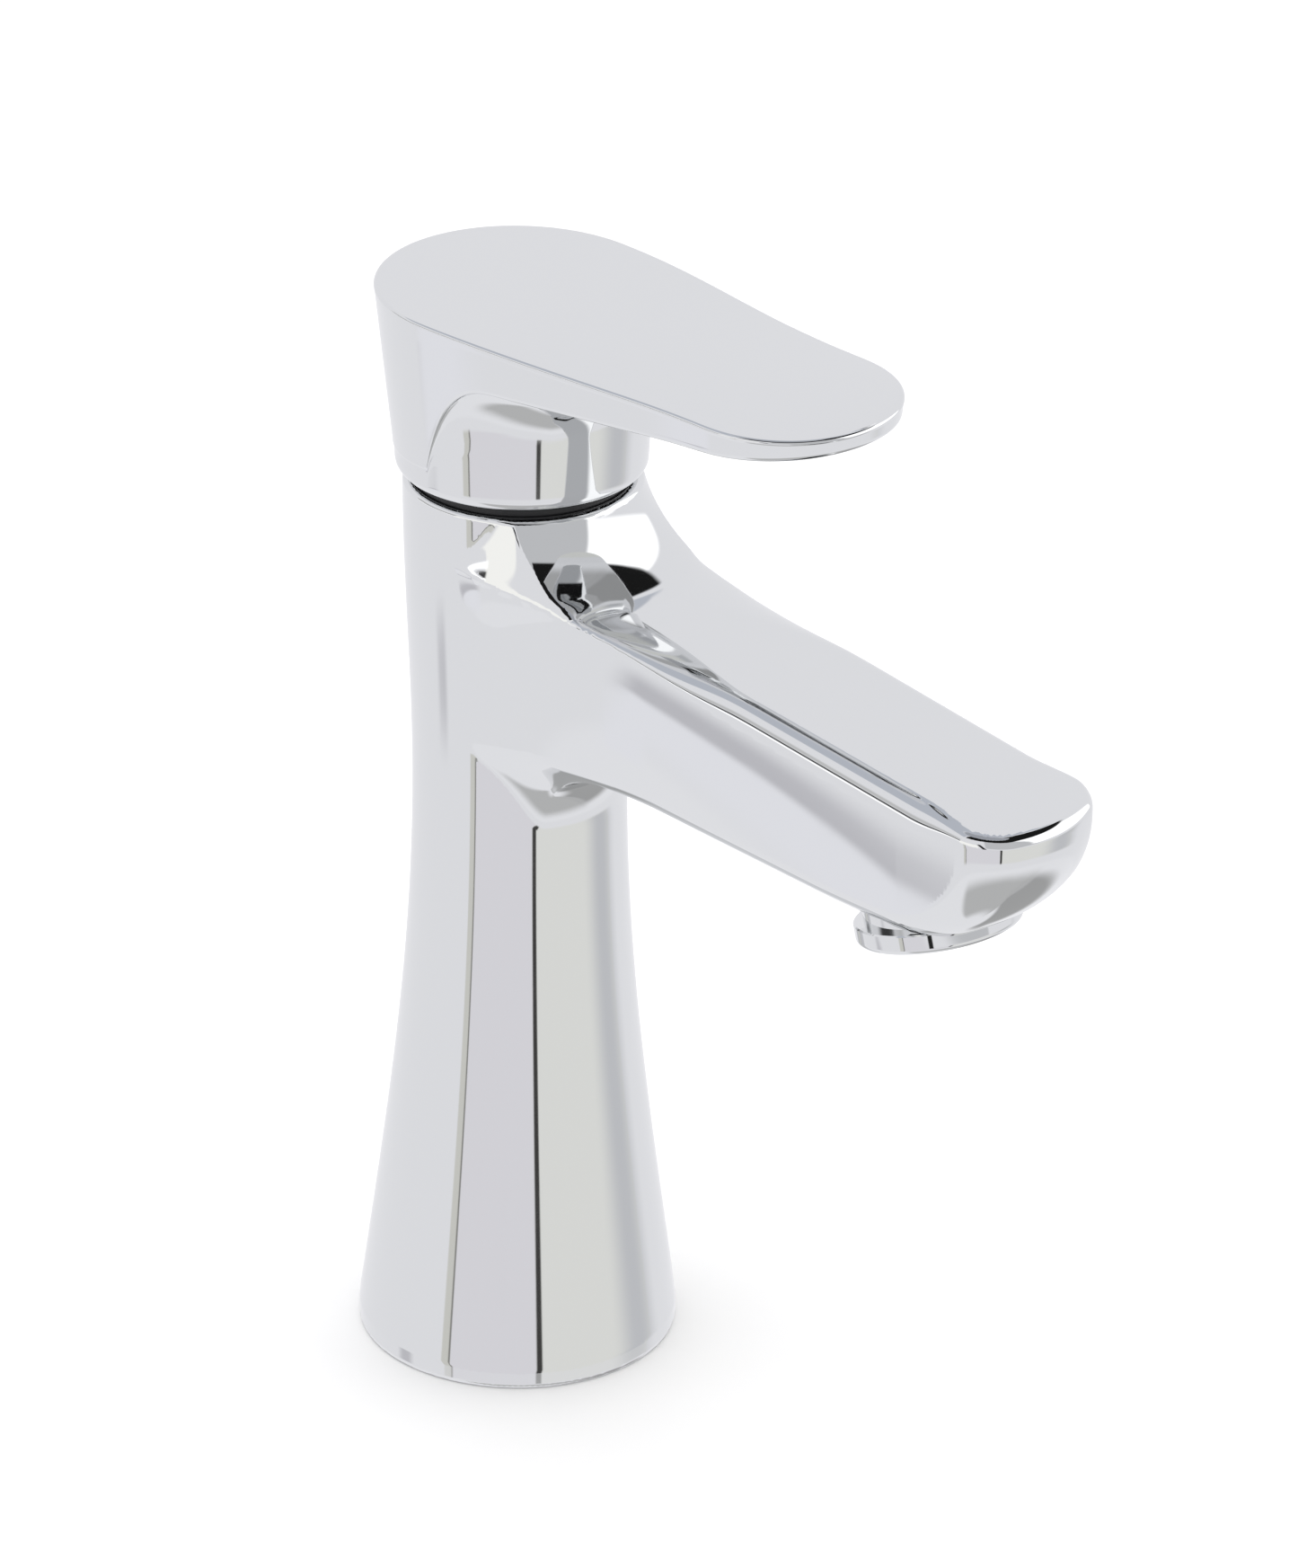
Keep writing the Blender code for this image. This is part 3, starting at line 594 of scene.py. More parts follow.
def evened(mesh, points):
    """Moves each point towards the middle of its neighbours, which evens the faces out."""
    ends = gathered(mesh.edges, "vertices", 2, np.int64)
    near, far = ends.T
    count = np.bincount(ends.ravel(), minlength=len(points))[:, None]
    total = np.zeros_like(points)
    for axis in range(3):
        total[:, axis] = (np.bincount(near, weights=points[far, axis], minlength=len(points))
                          + np.bincount(far, weights=points[near, axis], minlength=len(points)))
    return points + 0.5 * (total / count - points)


def remeshed(item, size):
    step = item.modifiers.new("even faces", "REMESH")
    step.mode = "VOXEL"
    step.voxel_size = size
    return settled(item)


def body_seed(sizes):
    """A rough column and spout that the skin starts from."""
    last = 29
    profile = [(0.0, sizes.top)]
    for step in range(last + 1):
        height = sizes.top * (1 - step / last)
        profile.append((float(column_radius(sizes, height)), height))
    profile.append((0.0, 0.0))
    column = turned("seed", profile, 48)
    shape = bmesh.new()
    shape.from_mesh(column)
    bpy.data.meshes.remove(column)
    inset = 1.5 * MM
    half = sizes.half_width - inset
    rings = []
    for forward in np.linspace(5 * MM, sizes.reach - inset, 24):
        top = sizes.top_at_axis - sizes.top_fall * forward
        ahead = min(max(forward - sizes.chin_start, 0.0) / (sizes.reach - sizes.chin_start), 1.0)
        under = sizes.under_at_axis - sizes.under_fall * forward
        under += (top - sizes.lip - under) * (1 - sqrt(1 - ahead ** 2))
        corners = ((-half, top), (half, top), (half, under), (-half, under))
        rings.append([shape.verts.new((x, -forward, z)) for x, z in corners])
    for near, far in zip(rings, rings[1:]):
        for index in range(4):
            after = (index + 1) % 4
            shape.faces.new((near[index], near[after], far[after], far[index]))
    shape.faces.new(rings[0])
    shape.faces.new(rings[-1])
    bmesh.ops.recalc_face_normals(shape, faces=shape.faces)
    mesh = bpy.data.meshes.new("body_skin")
    shape.to_mesh(mesh)
    shape.free()
    return new_object("body_skin", mesh)


def outlet_matrix(outlet, along=0.0):
    lean = Matrix.Rotation(-outlet.tilt, 4, "X")
    return Matrix.Translation(Vector(outlet.place)) @ lean @ Matrix.Translation((0, 0, along))


def body_cutters(sizes, outlet):
    """The bores under the foot, the cartridge chamber and the outlet, as in the casting."""
    mouth = sizes.top + 1 * MM
    ledge = sizes.top - 1.2 * MM
    chamber = [(0.0, mouth), (16.9 * MM, mouth), (16.9 * MM, ledge), (15 * MM, ledge)]
    chamber += in_mm((15, 133.5), (13.5, 132), (13.5, 98), (0, 98))
    port = in_mm((0, 14), (4.4, 14), (4.4, 0.5), (4.9, -0.1), (4.9, -1), (0, -1))
    way = in_mm((0, 99), (2.5, 99), (2.5, 13), (0, 13))
    stud = in_mm((0, 16.5), (3.4, 15), (3.4, 0.4), (3.8, -0.1), (3.8, -1), (0, -1))
    groove = in_mm((22.2, 1.7), (22.2, -1), (19.2, -1), (19.2, 1.7))
    mouth_ring = in_mm((0, 10.5), (11.2, 10.5), (11.2, 0), (12.8, 0), (12.8, -8), (0, -8))
    meshes = [turned("chamber", chamber, 96)]
    for side in (-1, 1):
        meshes.append(turned("port", port, 48, Matrix.Translation((side * 8 * MM, 0, 0))))
        meshes.append(turned("way", way, 32, Matrix.Translation((side * 6.4 * MM, 0, 0))))
    meshes.append(turned("stud", stud, 40, Matrix.Translation((0, 13 * MM, 0))))
    meshes.append(turned("groove", groove, 128, closed=True))
    meshes.append(turned("outlet", mouth_ring, 128, outlet_matrix(outlet)))
    return meshes


def set_skin_normals(mesh, distance):
    """Gives every corner that lies on the skin the skin's own exact direction."""
    on_skin = 0.03 * MM
    alike = 0.85
    smooth_over(mesh)
    points = coordinates(mesh)
    off = np.abs(distance(points))
    slope = gradient(distance, points)
    slope /= np.maximum(np.linalg.norm(slope, axis=1), 1e-9)[:, None]
    corners = gathered(mesh.corner_normals, "vector", 3)
    vertex = gathered(mesh.loops, "vertex_index", kind=np.int64)
    flat = gathered(mesh.polygons, "normal", 3)
    total = gathered(mesh.polygons, "loop_total", kind=np.int64)
    face = np.repeat(np.arange(len(total)), total)
    close = (off[vertex] < on_skin) & ((flat[face] * slope[vertex]).sum(axis=1) > alike)
    corners[close] = slope[vertex][close]
    mesh.normals_split_custom_set(corners)


def build_body_skin():
    sizes = bpy.context.scene.mixer_body
    outlet = bpy.context.scene.mixer_outlet

    def distance(points):
        return body_distance(sizes, points)

    size = sizes.face_size * 1.0
    coarser = 1.6
    even_rounds = 6
    item = remeshed(body_seed(sizes), size * coarser)
    set_coordinates(item.data, drawn_to(distance, coordinates(item.data), 8))
    remeshed(item, size)
    mesh = item.data
    points = drawn_to(distance, coordinates(mesh), 4)
    for _ in range(even_rounds):
        points = drawn_to(distance, evened(mesh, points), 1)
    set_coordinates(mesh, drawn_to(distance, points, 3))
    carved(item, body_cutters(sizes, outlet))
    set_skin_normals(item.data, distance)
    return item


# --- the lever ---
def blade_half_width(sizes, forward):
    along = min(forward / sizes.tip_start, 1.0)
    width = sizes.hub_radius + (sizes.tip_half_width - sizes.hub_radius) * (1 - cos(pi * along)) / 2
    if forward <= sizes.tip_start:
        return width
    past = min((forward - sizes.tip_start) / (sizes.reach - sizes.tip_start), 1.0)
    return width * max(0.0, 1 - past ** 2.2) ** (1 / 2.0)


def lever_outline(sizes, count):
    """Even points round the lever's plan, back to tip down the left side and up the right."""
    dense = [(-sizes.hub_radius * sin(a), sizes.hub_radius * cos(a)) for a in np.linspace(0, pi / 2, 200)]
    dense += [(-blade_half_width(sizes, f), -f) for f in np.linspace(0, sizes.tip_start, 300)[1:]]
    past = sizes.reach - sizes.tip_start
    for step in np.linspace(0, pi / 2, 600)[1:]:
        forward = sizes.tip_start + past * sin(step)
        dense.append((-blade_half_width(sizes, forward), -forward))
    dense[-1] = (0.0, -sizes.reach)
    dense = np.array(dense)
    travelled = np.concatenate([[0], np.cumsum(np.hypot(*np.diff(dense, axis=0).T))])
    even = np.linspace(0, travelled[-1], count + 1)
    left = np.stack([np.interp(even, travelled, dense[:, axis]) for axis in (0, 1)], axis=1)
    right = left[-2:0:-1] * (-1, 1)
    return np.concatenate([left, right])


def outline_normals(points):
    along = np.roll(points, -1, axis=0) - np.roll(points, 1, axis=0)
    normals = np.stack([along[:, 1], -along[:, 0]], axis=1)
    normals /= np.linalg.norm(normals, axis=1)[:, None]
    outward = (normals * points).sum(axis=1) > 0
    return np.where(outward[:, None], normals, -normals)


def crown_share(y):
    """None over the hub, and all of the crown from the middle of the blade on."""
    return eased(-y, 4, 34)


def lever_top(sizes, y):
    """Height of the edge round the top."""
    return sizes.top + sizes.top_fall * y - sizes.crown * crown_share(y)


def lever_under(sizes, y):
    """Height of the hollow's edge: under the blade, then round the hub down to its foot."""
    thickness = sizes.tip_thickness + sizes.thickening * (sizes.reach + y)
    dip_start = -16 * MM
    dip_run = 17 * MM
    dip = 15.5 * MM * np.clip((y - dip_start) / dip_run, 0, 1) ** 3.5
    return lever_top(sizes, y) - thickness - dip


def hub_wall(sizes, y, z):
    """Radius of the hub's wall: upright in front, and the lever's own drafted wall behind."""
    front_draft = 0.05
    front = sizes.hub_foot_radius + front_draft * (z - sizes.hub_bottom - 3.5 * MM)
    behind = sizes.hub_radius - sizes.draft * (lever_top(sizes, y) - z)
    return mixed(front, behind, eased(y, 2, 7))


def lever_rings(sizes, outline):
    """Rings of points from the edge of the top face, down the wall and hollow, to the foot."""
    normals = outline_normals(outline)
    outward = outline / np.linalg.norm(outline, axis=1)[:, None]
    y = outline[:, 1]
    top = lever_top(sizes, y)
    low = lever_under(sizes, y)
    rings = []

    def add(plan, height):
        rings.append(np.column_stack([plan, height]))

    upper = sizes.top_round
    for turn in (0.0, *quarter(5)):
        add(outline - normals * upper * (1 - sin(turn)), top - upper * (1 - cos(turn)))

    edge = sizes.under_round
    wall_end = low + edge
    wall_steps = 14
    for step in range(1, wall_steps + 1):
        height = (top - upper) + (wall_end - top + upper) * step / wall_steps
        add(outline - normals * (sizes.draft * (top - height))[:, None], height)

    start = rings[-1][:, :2]
    hollow = mixed(2 * MM, sizes.hollow_round, eased(low, 153, 11))
    low_end = lever_under(sizes, outward[:, 1] * hub_wall(sizes, y, low)) - hollow
    across = outward * hub_wall(sizes, y, low_end)[:, None] - start
    span = np.linalg.norm(across, axis=1)
    lean = across / np.maximum(span, 1e-9)[:, None]
    edge_wide = np.minimum(edge, 0.25 * span)
    hollow_wide = np.minimum(hollow, 0.6 * span)
    for turn in quarter(5):
        plan = start + lean * (edge_wide * (1 - cos(turn)))[:, None]
        shift = lever_under(sizes, plan[:, 1]) - low
        add(plan, wall_end - edge * sin(turn) + shift * sin(turn))
    under_steps = 21
    for step in range(1, under_steps + 1):
        travel = edge_wide + (span - hollow_wide - edge_wide) * step / under_steps
        plan = start + lean * travel[:, None]
        add(plan, lever_under(sizes, plan[:, 1]))
    for turn in quarter(10):
        plan = start + lean * (span - hollow_wide + hollow_wide * sin(turn))[:, None]
        add(plan, lever_under(sizes, plan[:, 1]) - hollow * (1 - cos(turn)))

    high = rings[-1][:, 2]
    foot = sizes.foot_round
    base = sizes.hub_bottom + foot
    hub_steps = 12
    for step in range(1, hub_steps + 1):
        height = high + (base - high) * step / hub_steps
        add(outward * hub_wall(sizes, y, height)[:, None], height)
    wall = hub_wall(sizes, y, np.full_like(y, base))
    for turn in quarter(5):
        add(outward * (wall - foot * (1 - cos(turn)))[:, None], np.full_like(y, base - foot * sin(turn)))
    return rings


def add_lever_cap(sizes, points, faces, half, count):
    """Closes the top with a slightly domed grid between the outline's left and right points."""
    columns = 20
    rows = [[0] * (columns + 1)]
    for index in range(1, half):
        left, right = points[index], points[count - index]
        row = [index]
        for step in range(1, columns):
            share = step / columns
            row.append(len(points))
            x, y, z = (a + (b - a) * share for a, b in zip(left, right))
            dome = sizes.crown * crown_share(y) * min(1.0, -left[0] / sizes.tip_half_width)
            points.append((x, y, z + dome * (1 - (2 * share - 1) ** 2)))
        rows.append(row + [count - index])
    rows.append([half] * (columns + 1))
    for upper, lower in zip(rows, rows[1:]):
        for step in range(columns):
            faces.append(tuple(dict.fromkeys((upper[step], upper[step + 1], lower[step + 1], lower[step]))))


def lever_cutters(sizes):
    """The hollow round the stem's boss, the grub screw's tunnel and the stem's square socket."""
    bottom = sizes.hub_bottom - MM
    boss = 8 * MM
    roof = 169.5 * MM
    boss_end = 152.5 * MM
    cavity = [(boss, roof), (sizes.bore, roof), (sizes.bore, bottom), (0.0, bottom), (0.0, boss_end),
              (boss, boss_end)]
    back = Matrix.Translation((0, 0, 158 * MM)) @ Matrix.Rotation(-pi / 2, 4, "X")
    tunnel = in_mm((0, 30), (2.7, 30), (2.7, 0), (0, 0))
    socket = bpy.data.meshes.new("socket")
    shape = bmesh.new()
    bmesh.ops.create_cube(shape, size=1.0)
    bmesh.ops.scale(shape, vec=(6.6 * MM, 6.6 * MM, 15 * MM), verts=shape.verts)
    bmesh.ops.translate(shape, vec=(0, 0, 158.8 * MM), verts=shape.verts)
    shape.to_mesh(socket)
    shape.free()
    return [turned("cavity", cavity, 96, closed=True), turned("tunnel", tunnel, 40, back), socket]


def build_handle_skin():
    sizes = bpy.context.scene.mixer_handle
    half = 150
    outline = lever_outline(sizes, half)
    count = len(outline)
    rings = lever_rings(sizes, outline)
    points = [tuple(point) for ring in rings for point in ring]
    faces = []
    for row in range(len(rings) - 1):
        for index in range(count):
            after = (index + 1) % count
            faces.append((row * count + index, row * count + after,
                          (row + 1) * count + after, (row + 1) * count + index))
    faces.append([(len(rings) - 1) * count + index for index in range(count)])
    add_lever_cap(sizes, points, faces, half, count)
    mesh = mesh_from("handle_skin", points, faces)
    face_out(mesh)
    item = carved(new_object("handle_skin", mesh), lever_cutters(sizes))
    smooth_over(item.data)
    return weighted(item)


# --- turned fittings ---
def build_collar():
    """The chrome ring of the aerator, with a rolled lower edge and a slim cove above it."""
    outlet = bpy.context.scene.mixer_outlet
    radius = outlet.collar
    head = -outlet.head
    bead = 0.9 * MM
    profile = [(10.9 * MM, 7 * MM), (10.9 * MM, -0.3 * MM), (radius - 0.25 * MM, -0.3 * MM),
               (radius, -0.5 * MM)]
    profile += arc((radius - bead, head + bead), bead, 0, -90, 8)
    profile += arc((9 * MM, head + 0.3 * MM), 0.3 * MM, -90, -180, 4)
    profile += [(8.7 * MM, head + 1.2 * MM), (9.6 * MM, head + 1.2 * MM), (9.6 * MM, 7 * MM)]
    mesh = turned("aerator_collar", profile, 128, outlet_matrix(outlet), closed=True)
    smooth_over(mesh, 30)
    return weighted(new_object("aerator_collar", mesh))


def build_plug():
    """The pressed cap over the grub screw, with a shallow dome and a rounded rim."""
    low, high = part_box("grub_screw_plug")
    radius = (high[0] - low[0]) / 2
    depth = high[1] - low[1]
    rim = 0.35 * MM
    profile = [(0.0, 0.0), (radius, 0.0)] + arc((radius - rim, depth - rim), rim, 0, 80, 6)
    profile += [((radius - rim) * (1 - step / 5), depth - 0.01 * MM * (1 - step / 5) ** 2)
                for step in range(1, 6)]
    place = Matrix.Translation((0, low[1], (low[2] + high[2]) / 2)) @ Matrix.Rotation(-pi / 2, 4, "X")
    mesh = turned("plug_cap", profile, 64, place)
    smooth_over(mesh, 40)
    return new_object("plug_cap", mesh)


# --- swept rings and jets, as node trees ---
def open_tree(name, sizes, counts=()):
    """Starts a tree whose inputs are the named sizes and counts, and a material."""
    tree = bpy.data.node_groups.new(name, "GeometryNodeTree")
    inputs = [("Geometry", "Geometry"), *((label, "Float") for label in sizes),
              *((label, "Int") for label in counts), ("Material", "Material")]
    for label, kind in inputs:
        tree.interface.new_socket(label, in_out="INPUT", socket_type="NodeSocket" + kind)
    tree.interface.new_socket("Geometry", in_out="OUTPUT", socket_type="NodeSocketGeometry")
    return tree, add_node(tree, "NodeGroupInput").outputs


def close_tree(tree, given, geometry):
    real = add_node(tree, "GeometryNodeRealizeInstances", links={"Geometry": geometry})
    painted = add_node(tree, "GeometryNodeSetMaterial",
                       links={"Geometry": real, "Material": given["Material"]})
    add_node(tree, "NodeGroupOutput", links={"Geometry": painted})
    return tree


def swept_bar(tree, given, steps, edge_steps):
    """Sweeps a bar with rounded edges round a circle."""
    path = add_node(tree, "GeometryNodeCurvePrimitiveCircle", values={"Resolution": steps},
                    links={"Radius": given["Radius"]})
    bar = add_node(tree, "GeometryNodeCurvePrimitiveQuadrilateral",
                   links={"Width": given["Width"], "Height": given["Height"]})
    soft = add_node(tree, "GeometryNodeFilletCurve", {"mode": "POLY"}, {"Count": edge_steps},
                    {"Curve": bar, "Radius": given["Edge"]})
    return add_node(tree, "GeometryNodeCurveToMesh", links={"Curve": path, "Profile Curve": soft})


def ring_tree():
    """One ring at a given level."""
    tree, given = open_tree("swept ring", ("Radius", "Width", "Height", "Edge", "Level"))
    height = add_node(tree, "ShaderNodeCombineXYZ", links={"Z": given["Level"]})
    bar = swept_bar(tree, given, 144, 4)
    placed = add_node(tree, "GeometryNodeTransform", links={"Geometry": bar, "Translation": height})
    return close_tree(tree, given, placed)


def jets_tree():
    """Two rows of short soft nozzles round the outlet's axis."""
    tree, given = open_tree("outlet jets", ("Inner Row", "Outer Row", "Radius", "Width", "Height", "Edge"),
                            ("Inner Count", "Outer Count"))
    rows = add_node(tree, "GeometryNodeJoinGeometry")
    for row in ("Inner", "Outer"):
        circle = add_node(tree, "GeometryNodeMeshCircle",
                          links={"Vertices": given[row + " Count"], "Radius": given[row + " Row"]})
        tree.links.new(circle.outputs["Mesh"], rows.inputs["Geometry"])
    nozzle = swept_bar(tree, given, 24, 2)
    copies = add_node(tree, "GeometryNodeInstanceOnPoints", links={"Points": rows, "Instance": nozzle})
    return close_tree(tree, given, copies)


def from_tree(name, tree, inputs):
    """Runs a node tree with the given inputs and keeps the result as a plain mesh."""
    item = new_object(name, bpy.data.meshes.new(name))
    step = item.modifiers.new("shape", "NODES")
    step.node_group = tree
    for socket in tree.interface.items_tree:
        if socket.item_type == "SOCKET" and socket.in_out == "INPUT" and socket.name in inputs:
            step[socket.identifier] = inputs[socket.name]
    settled(item)
    face_out(item.data)
    smooth_over(item.data, 40)
    return item


def build_ring(name, node, inner, outer, edge, slot):
    low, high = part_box(node)
    return from_tree(name, ring_tree(), {
        "Radius": (inner + outer) / 2, "Width": outer - inner, "Height": high[2] - low[2],
        "Edge": edge, "Level": (low[2] + high[2]) / 2, "Material": material_for(slot)})


def build_jets():
    outlet = bpy.context.scene.mixer_outlet
    item = from_tree("outlet_jets", jets_tree(), {
        "Inner Row": outlet.inner_row, "Outer Row": outlet.outer_row,
        "Inner Count": outlet.inner_count, "Outer Count": outlet.outer_count,
        "Radius": 0.8 * MM, "Width": 0.3 * MM, "Height": 1.6 * MM, "Edge": 0.08 * MM,
        "Material": material_for("black_rubber")})
    item.data.transform(outlet_matrix(outlet, 1.8 * MM - outlet.head))
    return item


# --- stage ---
def build_camera(stage):
    a, e = stage.azimuth, stage.elevation
    aside = Vector((cos(a), sin(a), 0.0))
    ahead = Vector((-sin(a), cos(a), 0.0)) * cos(e) - Vector((0, 0, sin(e)))
    up = aside.cross(ahead)
    target = aside * stage.aside + Vector((0, 0, stage.aim_height))
    place = target - ahead * stage.distance
    across = aside * cos(stage.roll) + up * sin(stage.roll)
    over = up * cos(stage.roll) - aside * sin(stage.roll)
    lens = bpy.data.cameras.new("camera")
    lens.sensor_fit = "VERTICAL"
    lens.sensor_width = 36.0
    lens.sensor_height = 36.0
    lens.lens = stage.lens
    lens.clip_start = 0.01
    camera = new_object("camera", lens)
    turn = Matrix((across, over, -ahead)).transposed().to_4x4()
    camera.matrix_world = Matrix.Translation(place) @ turn
    bpy.context.scene.camera = camera


# Panels of the tent as (name, azimuth, half width, elevation, half height, lean, softness across,
# softness up, tone, colour).  Angles are degrees: azimuth from -Y towards +X, elevation from the
# horizon, and lean in degrees of azimuth for each degree of elevation.  A tone over 1 is brighter
# than the plain tent.
TENT_PANELS = (
    ("table", 0, 180, -66, 29, 0.0, 1.5, 1.5, 0.96, "#FCFCFF"),
    ("table front", -25, 65, -62, 17, 0.0, 6.0, 6.0, 0.55, "#FFFFFF"),
    ("table shade", 78, 40, -58, 12, 0.0, 8.0, 4.0, 0.42, "#FFFFFF"),
    ("front wall left", -63, 34, -21, 9.5, 0.0, 1.2, 1.2, 0.90, "#F6F4F9"),
    ("front wall right", 15, 48, -21, 9.5, 0.0, 1.2, 1.2, 0.90, "#FAFAF6"),
    ("right wall shade", 50, 14, -21, 9.5, 0.0, 12.0, 1.2, 0.66, "#FAFBFF"),
    ("warm strip", -98, 3, -21, 9.5, 0.0, 0.8, 1.2, 0.76, "#F6F5EE"),
    ("strip line", -95, 0.7, -21, 9.5, 0.0, 0.5, 1.2, 0.30, "#F6F5EE"),
    ("door frame", -31, 2.0, -21, 9.5, 0.0, 0.8, 1.2, 0.06, "#FFFCF8"),
    ("side shade", -136, 5.5, -29.9, 1.5, 0.0, 3.5, 1.1, 0.64, "#FAF9FF"),
    ("side glow", -136, 5.5, -35, 4.1, 0.0, 3.5, 0.5, 0.97, "#FAFAFF"),
    ("window left", -90, 22, -1, 9, 0.0, 1.2, 1.2, 1.14, "#FFFEFA"),
    ("wall above", -18, 38, 20, 25, 0.0, 2.0, 2.0, 0.64, "#FBFCFF"),
    ("post", -62, 3.0, 1, 14, -0.3, 0.8, 0.8, 0.02, "#FFFFFF"),
    ("window right", 50, 34, 22, 22, 0.0, 2.5, 2.5, 1.55, "#FFFFFF"),
    ("rear lamp", -135, 25, 0, 2.0, 0.0, 2.0, 0.8, 1.45, "#FFFFFF"),
    ("rear shadow", -135, 25, 6, 2.5, 0.0, 2.0, 0.8, 0.06, "#FFFFFF"),
    ("rear grey", -135, 25, 15, 5, 0.0, 4.0, 4.0, 0.62, "#FFFFFF"),
    ("blue ceiling", 180, 74, 56, 11, 0.0, 1.5, 1.5, 0.64, "#EFF4FF"),
    ("ceiling mouth", 0, 100, 56, 12, 0.0, 1.5, 1.5, 0.012, "#FFFFFF"),
    ("zenith", 0, 180, 82, 14, 0.0, 2.0, 2.0, 0.45, "#EEF2FC"),
)
TENT_COLOUR = "#F3F3F6"


def build_world():
    """A bright tent with a few plain panels, seen white by the camera."""
    world = bpy.data.worlds.new("studio tent")
    bpy.context.scene.world = world
    world.use_nodes = True
    tree = world.node_tree
    tree.nodes.clear()

    def sums(kind, first, second=0.0, third=None):
        node = add_node(tree, "ShaderNodeMath", {"operation": kind})
        for index, value in enumerate((first, second, third)):
            if isinstance(value, bpy.types.NodeSocket):
                tree.links.new(value, node.inputs[index])
            elif value is not None:
                node.inputs[index].default_value = value
        return node.outputs["Value"]

    def within(offset, half, soft):
        away = sums("ABSOLUTE", offset)
        fade = add_node(tree, "ShaderNodeMapRange", {"interpolation_type": "SMOOTHSTEP"},
                        {"From Min": half - soft, "From Max": half + soft, "To Min": 1.0, "To Max": 0.0},
                        {"Value": away})
        return fade.outputs["Result"]

    where = add_node(tree, "ShaderNodeTexCoord")
    parts = add_node(tree, "ShaderNodeSeparateXYZ", links={"Vector": where.outputs["Generated"]}).outputs
    azimuth = sums("DEGREES", sums("ARCTAN2", parts["X"], sums("MULTIPLY", parts["Y"], -1.0)))
    elevation = sums("DEGREES", sums("ARCSINE", parts["Z"]))
    colour = add_node(tree, "ShaderNodeRGB").outputs["Color"]
    colour.default_value = (*linear(TENT_COLOUR), 1.0)
    for _, turn, half_turn, rise, half_rise, lean, soft_across, soft_up, tone, code in TENT_PANELS:
        up = sums("SUBTRACT", elevation, rise)
        leaned = sums("SUBTRACT", azimuth, sums("MULTIPLY", up, lean))
        aside = sums("WRAP", sums("SUBTRACT", leaned, turn), 180.0, -180.0)
        mask = sums("MULTIPLY", within(aside, half_turn, soft_across), within(up, half_rise, soft_up))
        mix = add_node(tree, "ShaderNodeMix", {"data_type": "RGBA"})
        tree.links.new(mask, mix.inputs[0])
        tree.links.new(colour, mix.inputs[6])
        mix.inputs[7].default_value = (*[part * tone for part in linear(code)], 1.0)
        colour = mix.outputs[2]
    tent = add_node(tree, "ShaderNodeBackground", links={"Color": colour})
    white = add_node(tree, "ShaderNodeBackground", values={"Color": (1.0, 1.0, 1.0, 1.0)})
    to_camera = add_node(tree, "ShaderNodeLightPath").outputs["Is Camera Ray"]
    pick = add_node(tree, "ShaderNodeMixShader", links={0: to_camera, 1: tent, 2: white})
    add_node(tree, "ShaderNodeOutputWorld", links={"Surface": pick})


def build_lamp():
    """One broad soft lamp overhead that lifts the floor to white."""
    lamp = bpy.data.lights.new("overhead", "AREA")
    lamp.shape = "DISK"
    lamp.size = 1.6
    lamp.energy = 15.0
    lamp.color = (1.0, 0.985, 0.955)
    item = new_object("overhead", lamp)
    item.location = (0, 0, 1.2)
    item.visible_glossy = False


def build_floor():
    half = 2.0
    corners = [(-half, -half, 0), (half, -half, 0), (half, half, 0), (-half, half, 0)]
    mesh = mesh_from("studio_floor", corners, [(0, 1, 2, 3)])
    floor = new_object("studio_floor", mesh)
    made, tree = new_material("matt white sweep")
    shader = add_node(tree, "ShaderNodeBsdfPrincipled",
                      values={"Base Color": (*linear("#F7F7F7"), 1.0), "Roughness": 0.9})
    close_material(tree, shader)
    mesh.materials.append(made)
    floor.visible_glossy = False


# --- operators ---
class MIXER_OT_body(bpy.types.Operator):
    """Make the casting's smooth chrome skin, with its bores"""
    bl_idname = "mixer.body"
    bl_label = "Body skin"

    def execute(self, context):
        fewest_faces = 1000
        item = build_body_skin()
        if len(item.data.polygons) < fewest_faces:
            raise RuntimeError("the body's skin came out empty")
        finish_piece(item, "mixer_body", "chrome_plated_brass", "body_casting")
        return {"FINISHED"}


class MIXER_OT_handle(bpy.types.Operator):
    """Make the lever's smooth chrome skin and the cap over its grub screw"""
    bl_idname = "mixer.handle"
    bl_label = "Lever skin and cap"

    def execute(self, context):
        finish_piece(build_handle_skin(), "lever", "chrome_plated_zinc", "handle_lever")
        finish_piece(build_plug(), "lever", "chrome_plated_cap", "grub_screw_plug")
        return {"FINISHED"}


class MIXER_OT_outlet(bpy.types.Operator):
    """Make the aerator's chrome ring and its jets"""
    bl_idname = "mixer.outlet"
    bl_label = "Outlet ring and jets"

    def execute(self, context):
        finish_piece(build_collar(), "mixer_body", "chrome_plated_brass", "aerator_housing")
        finish_piece(build_jets(), "mixer_body", "black_rubber")
        return {"FINISHED"}


class MIXER_OT_rings(bpy.types.Operator):
    """Make the black gap ring, whose black also paints the shade of the gap under the lever, and the seal
    under the foot
    """
    bl_idname = "mixer.rings"
    bl_label = "Gap ring and foot seal"

    def execute(self, context):
        # The black slip ring is partly a real part and partly painted shade: its black stands in for the
        # shadow in the gap between the lever's hub and the body's top.
        band = build_ring("shadow_gap_band", "gap_ring", 15.1 * MM, 16.6 * MM, 0.25 * MM, "black_acetal")
        finish_piece(band, "mixer_body", "black_acetal", "gap_ring")
        seal = build_ring("foot_seal", "base_seal", 19.5 * MM, 21.9 * MM, 0.3 * MM, "black_rubber")
        finish_piece(seal, "mixer_body", "black_rubber", "base_seal")
        return {"FINISHED"}


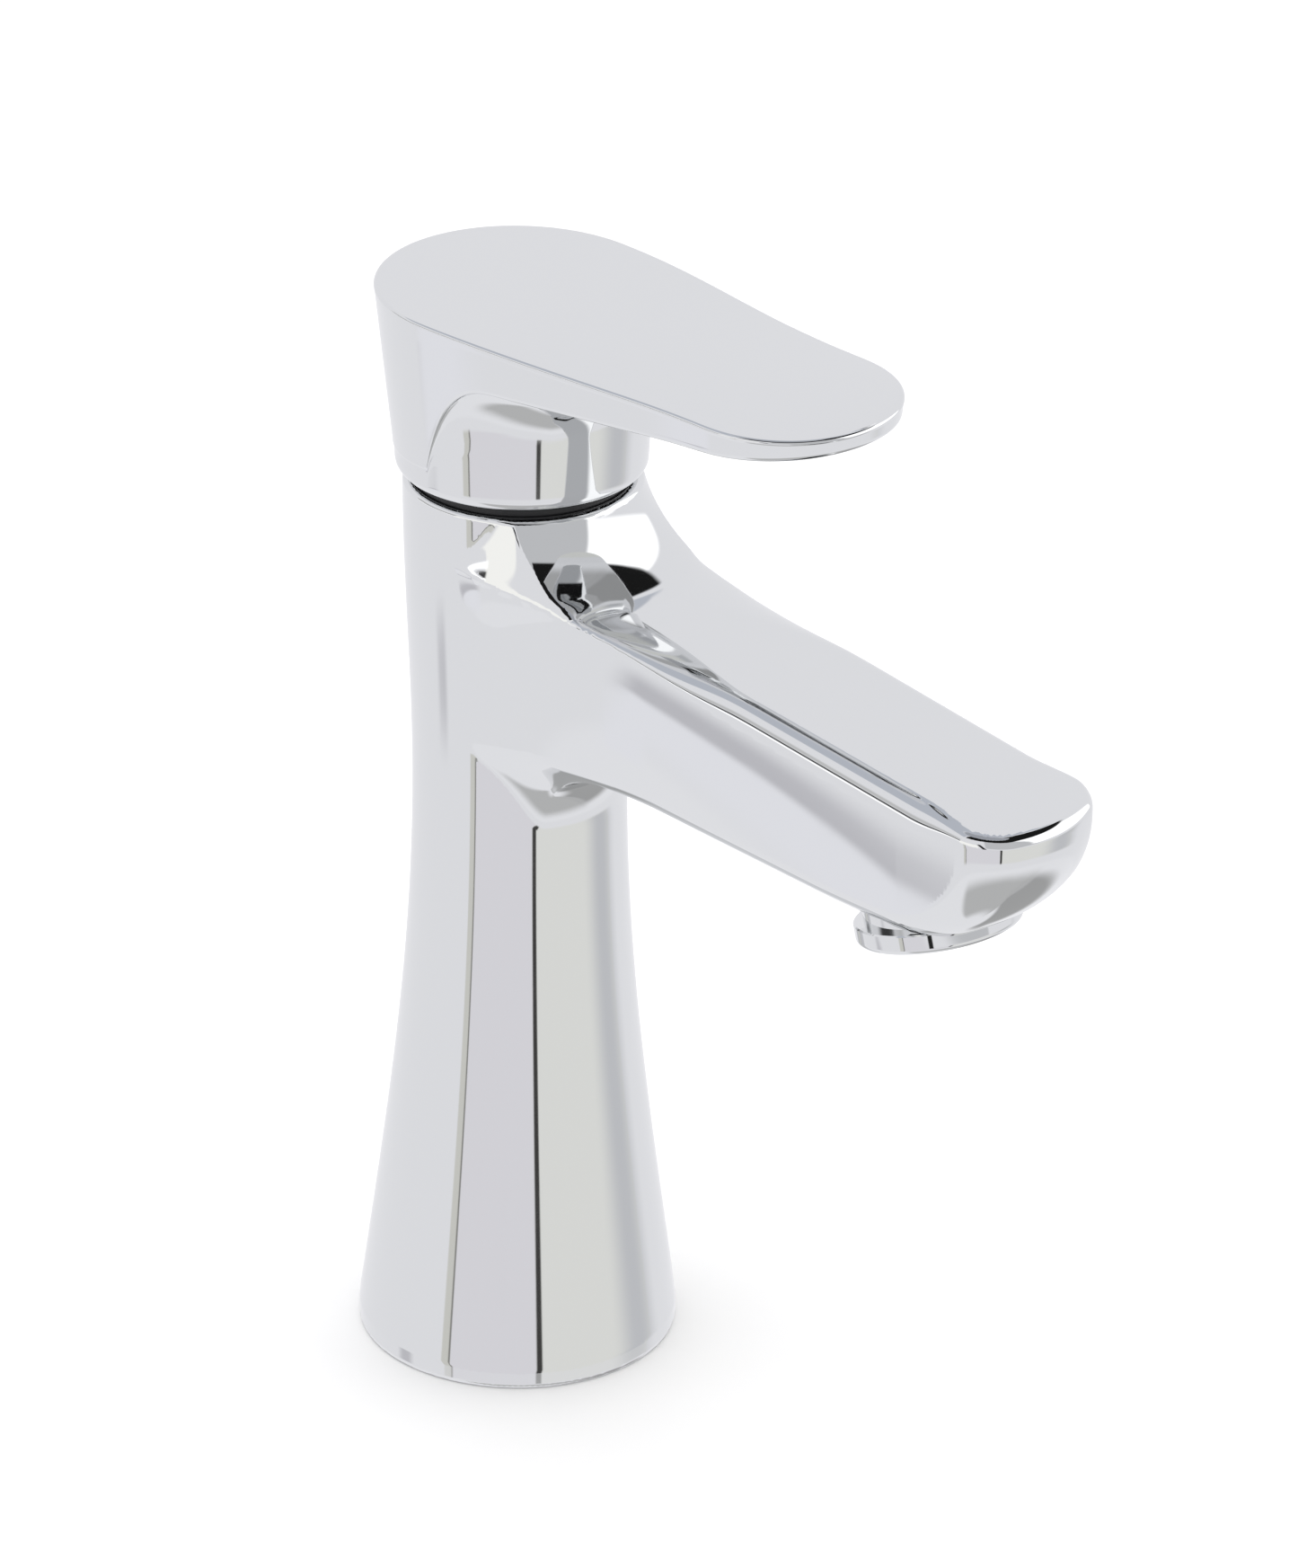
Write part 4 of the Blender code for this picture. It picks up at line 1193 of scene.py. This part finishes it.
class MIXER_OT_inner_parts(bpy.types.Operator):
    """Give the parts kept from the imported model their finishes"""
    bl_idname = "mixer.inner_parts"
    bl_label = "Inner parts"

    def execute(self, context):
        for name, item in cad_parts.items():
            for place in item.material_slots:
                slot = place.material.name.split(".")[0]
                if slot in MATERIALS:
                    place.material = MATERIALS[slot]
        return {"FINISHED"}


class MIXER_OT_stage(bpy.types.Operator):
    """Make the camera, the tent of light and the floor"""
    bl_idname = "mixer.stage"
    bl_label = "Studio"

    def execute(self, context):
        build_camera(context.scene.mixer_stage)
        build_world()
        build_lamp()
        build_floor()
        context.scene.view_settings.view_transform = "Standard"
        return {"FINISHED"}


class MIXER_PT_panel(bpy.types.Panel):
    """Steps that build the mixer's finished look"""
    bl_idname = "MIXER_PT_panel"
    bl_label = "Basin mixer"
    bl_space_type = "VIEW_3D"
    bl_region_type = "UI"
    bl_category = "Basin mixer"

    def draw(self, context):
        for step in OPERATORS:
            self.layout.operator(step.bl_idname)
        for group in SETTINGS:
            box = self.layout.box()
            box.label(text=group[3:].replace("_", " ").title())
            values = getattr(context.scene, group)
            for key in values.bl_rna.properties.keys():
                if key not in ("rna_type", "name"):
                    box.prop(values, key)


OPERATORS = (MIXER_OT_stage, MIXER_OT_body, MIXER_OT_handle, MIXER_OT_outlet, MIXER_OT_rings,
             MIXER_OT_inner_parts)
SETTINGS = {"mixer_body": BodySizes, "mixer_handle": HandleSizes, "mixer_outlet": OutletSizes,
            "mixer_finishes": Finishes, "mixer_stage": StageSizes}


def register():
    for group in (*SETTINGS.values(), *OPERATORS, MIXER_PT_panel):
        bpy.utils.register_class(group)
    for name, group in SETTINGS.items():
        setattr(bpy.types.Scene, name, PointerProperty(type=group))


def unregister():
    for name in SETTINGS:
        delattr(bpy.types.Scene, name)
    for group in reversed((*SETTINGS.values(), *OPERATORS, MIXER_PT_panel)):
        bpy.utils.unregister_class(group)


def main():
    register()
    bpy.ops.mixer.stage()
    bpy.ops.mixer.body()
    bpy.ops.mixer.handle()
    bpy.ops.mixer.outlet()
    bpy.ops.mixer.rings()
    bpy.ops.mixer.inner_parts()


if __name__ == "__main__":
    main()
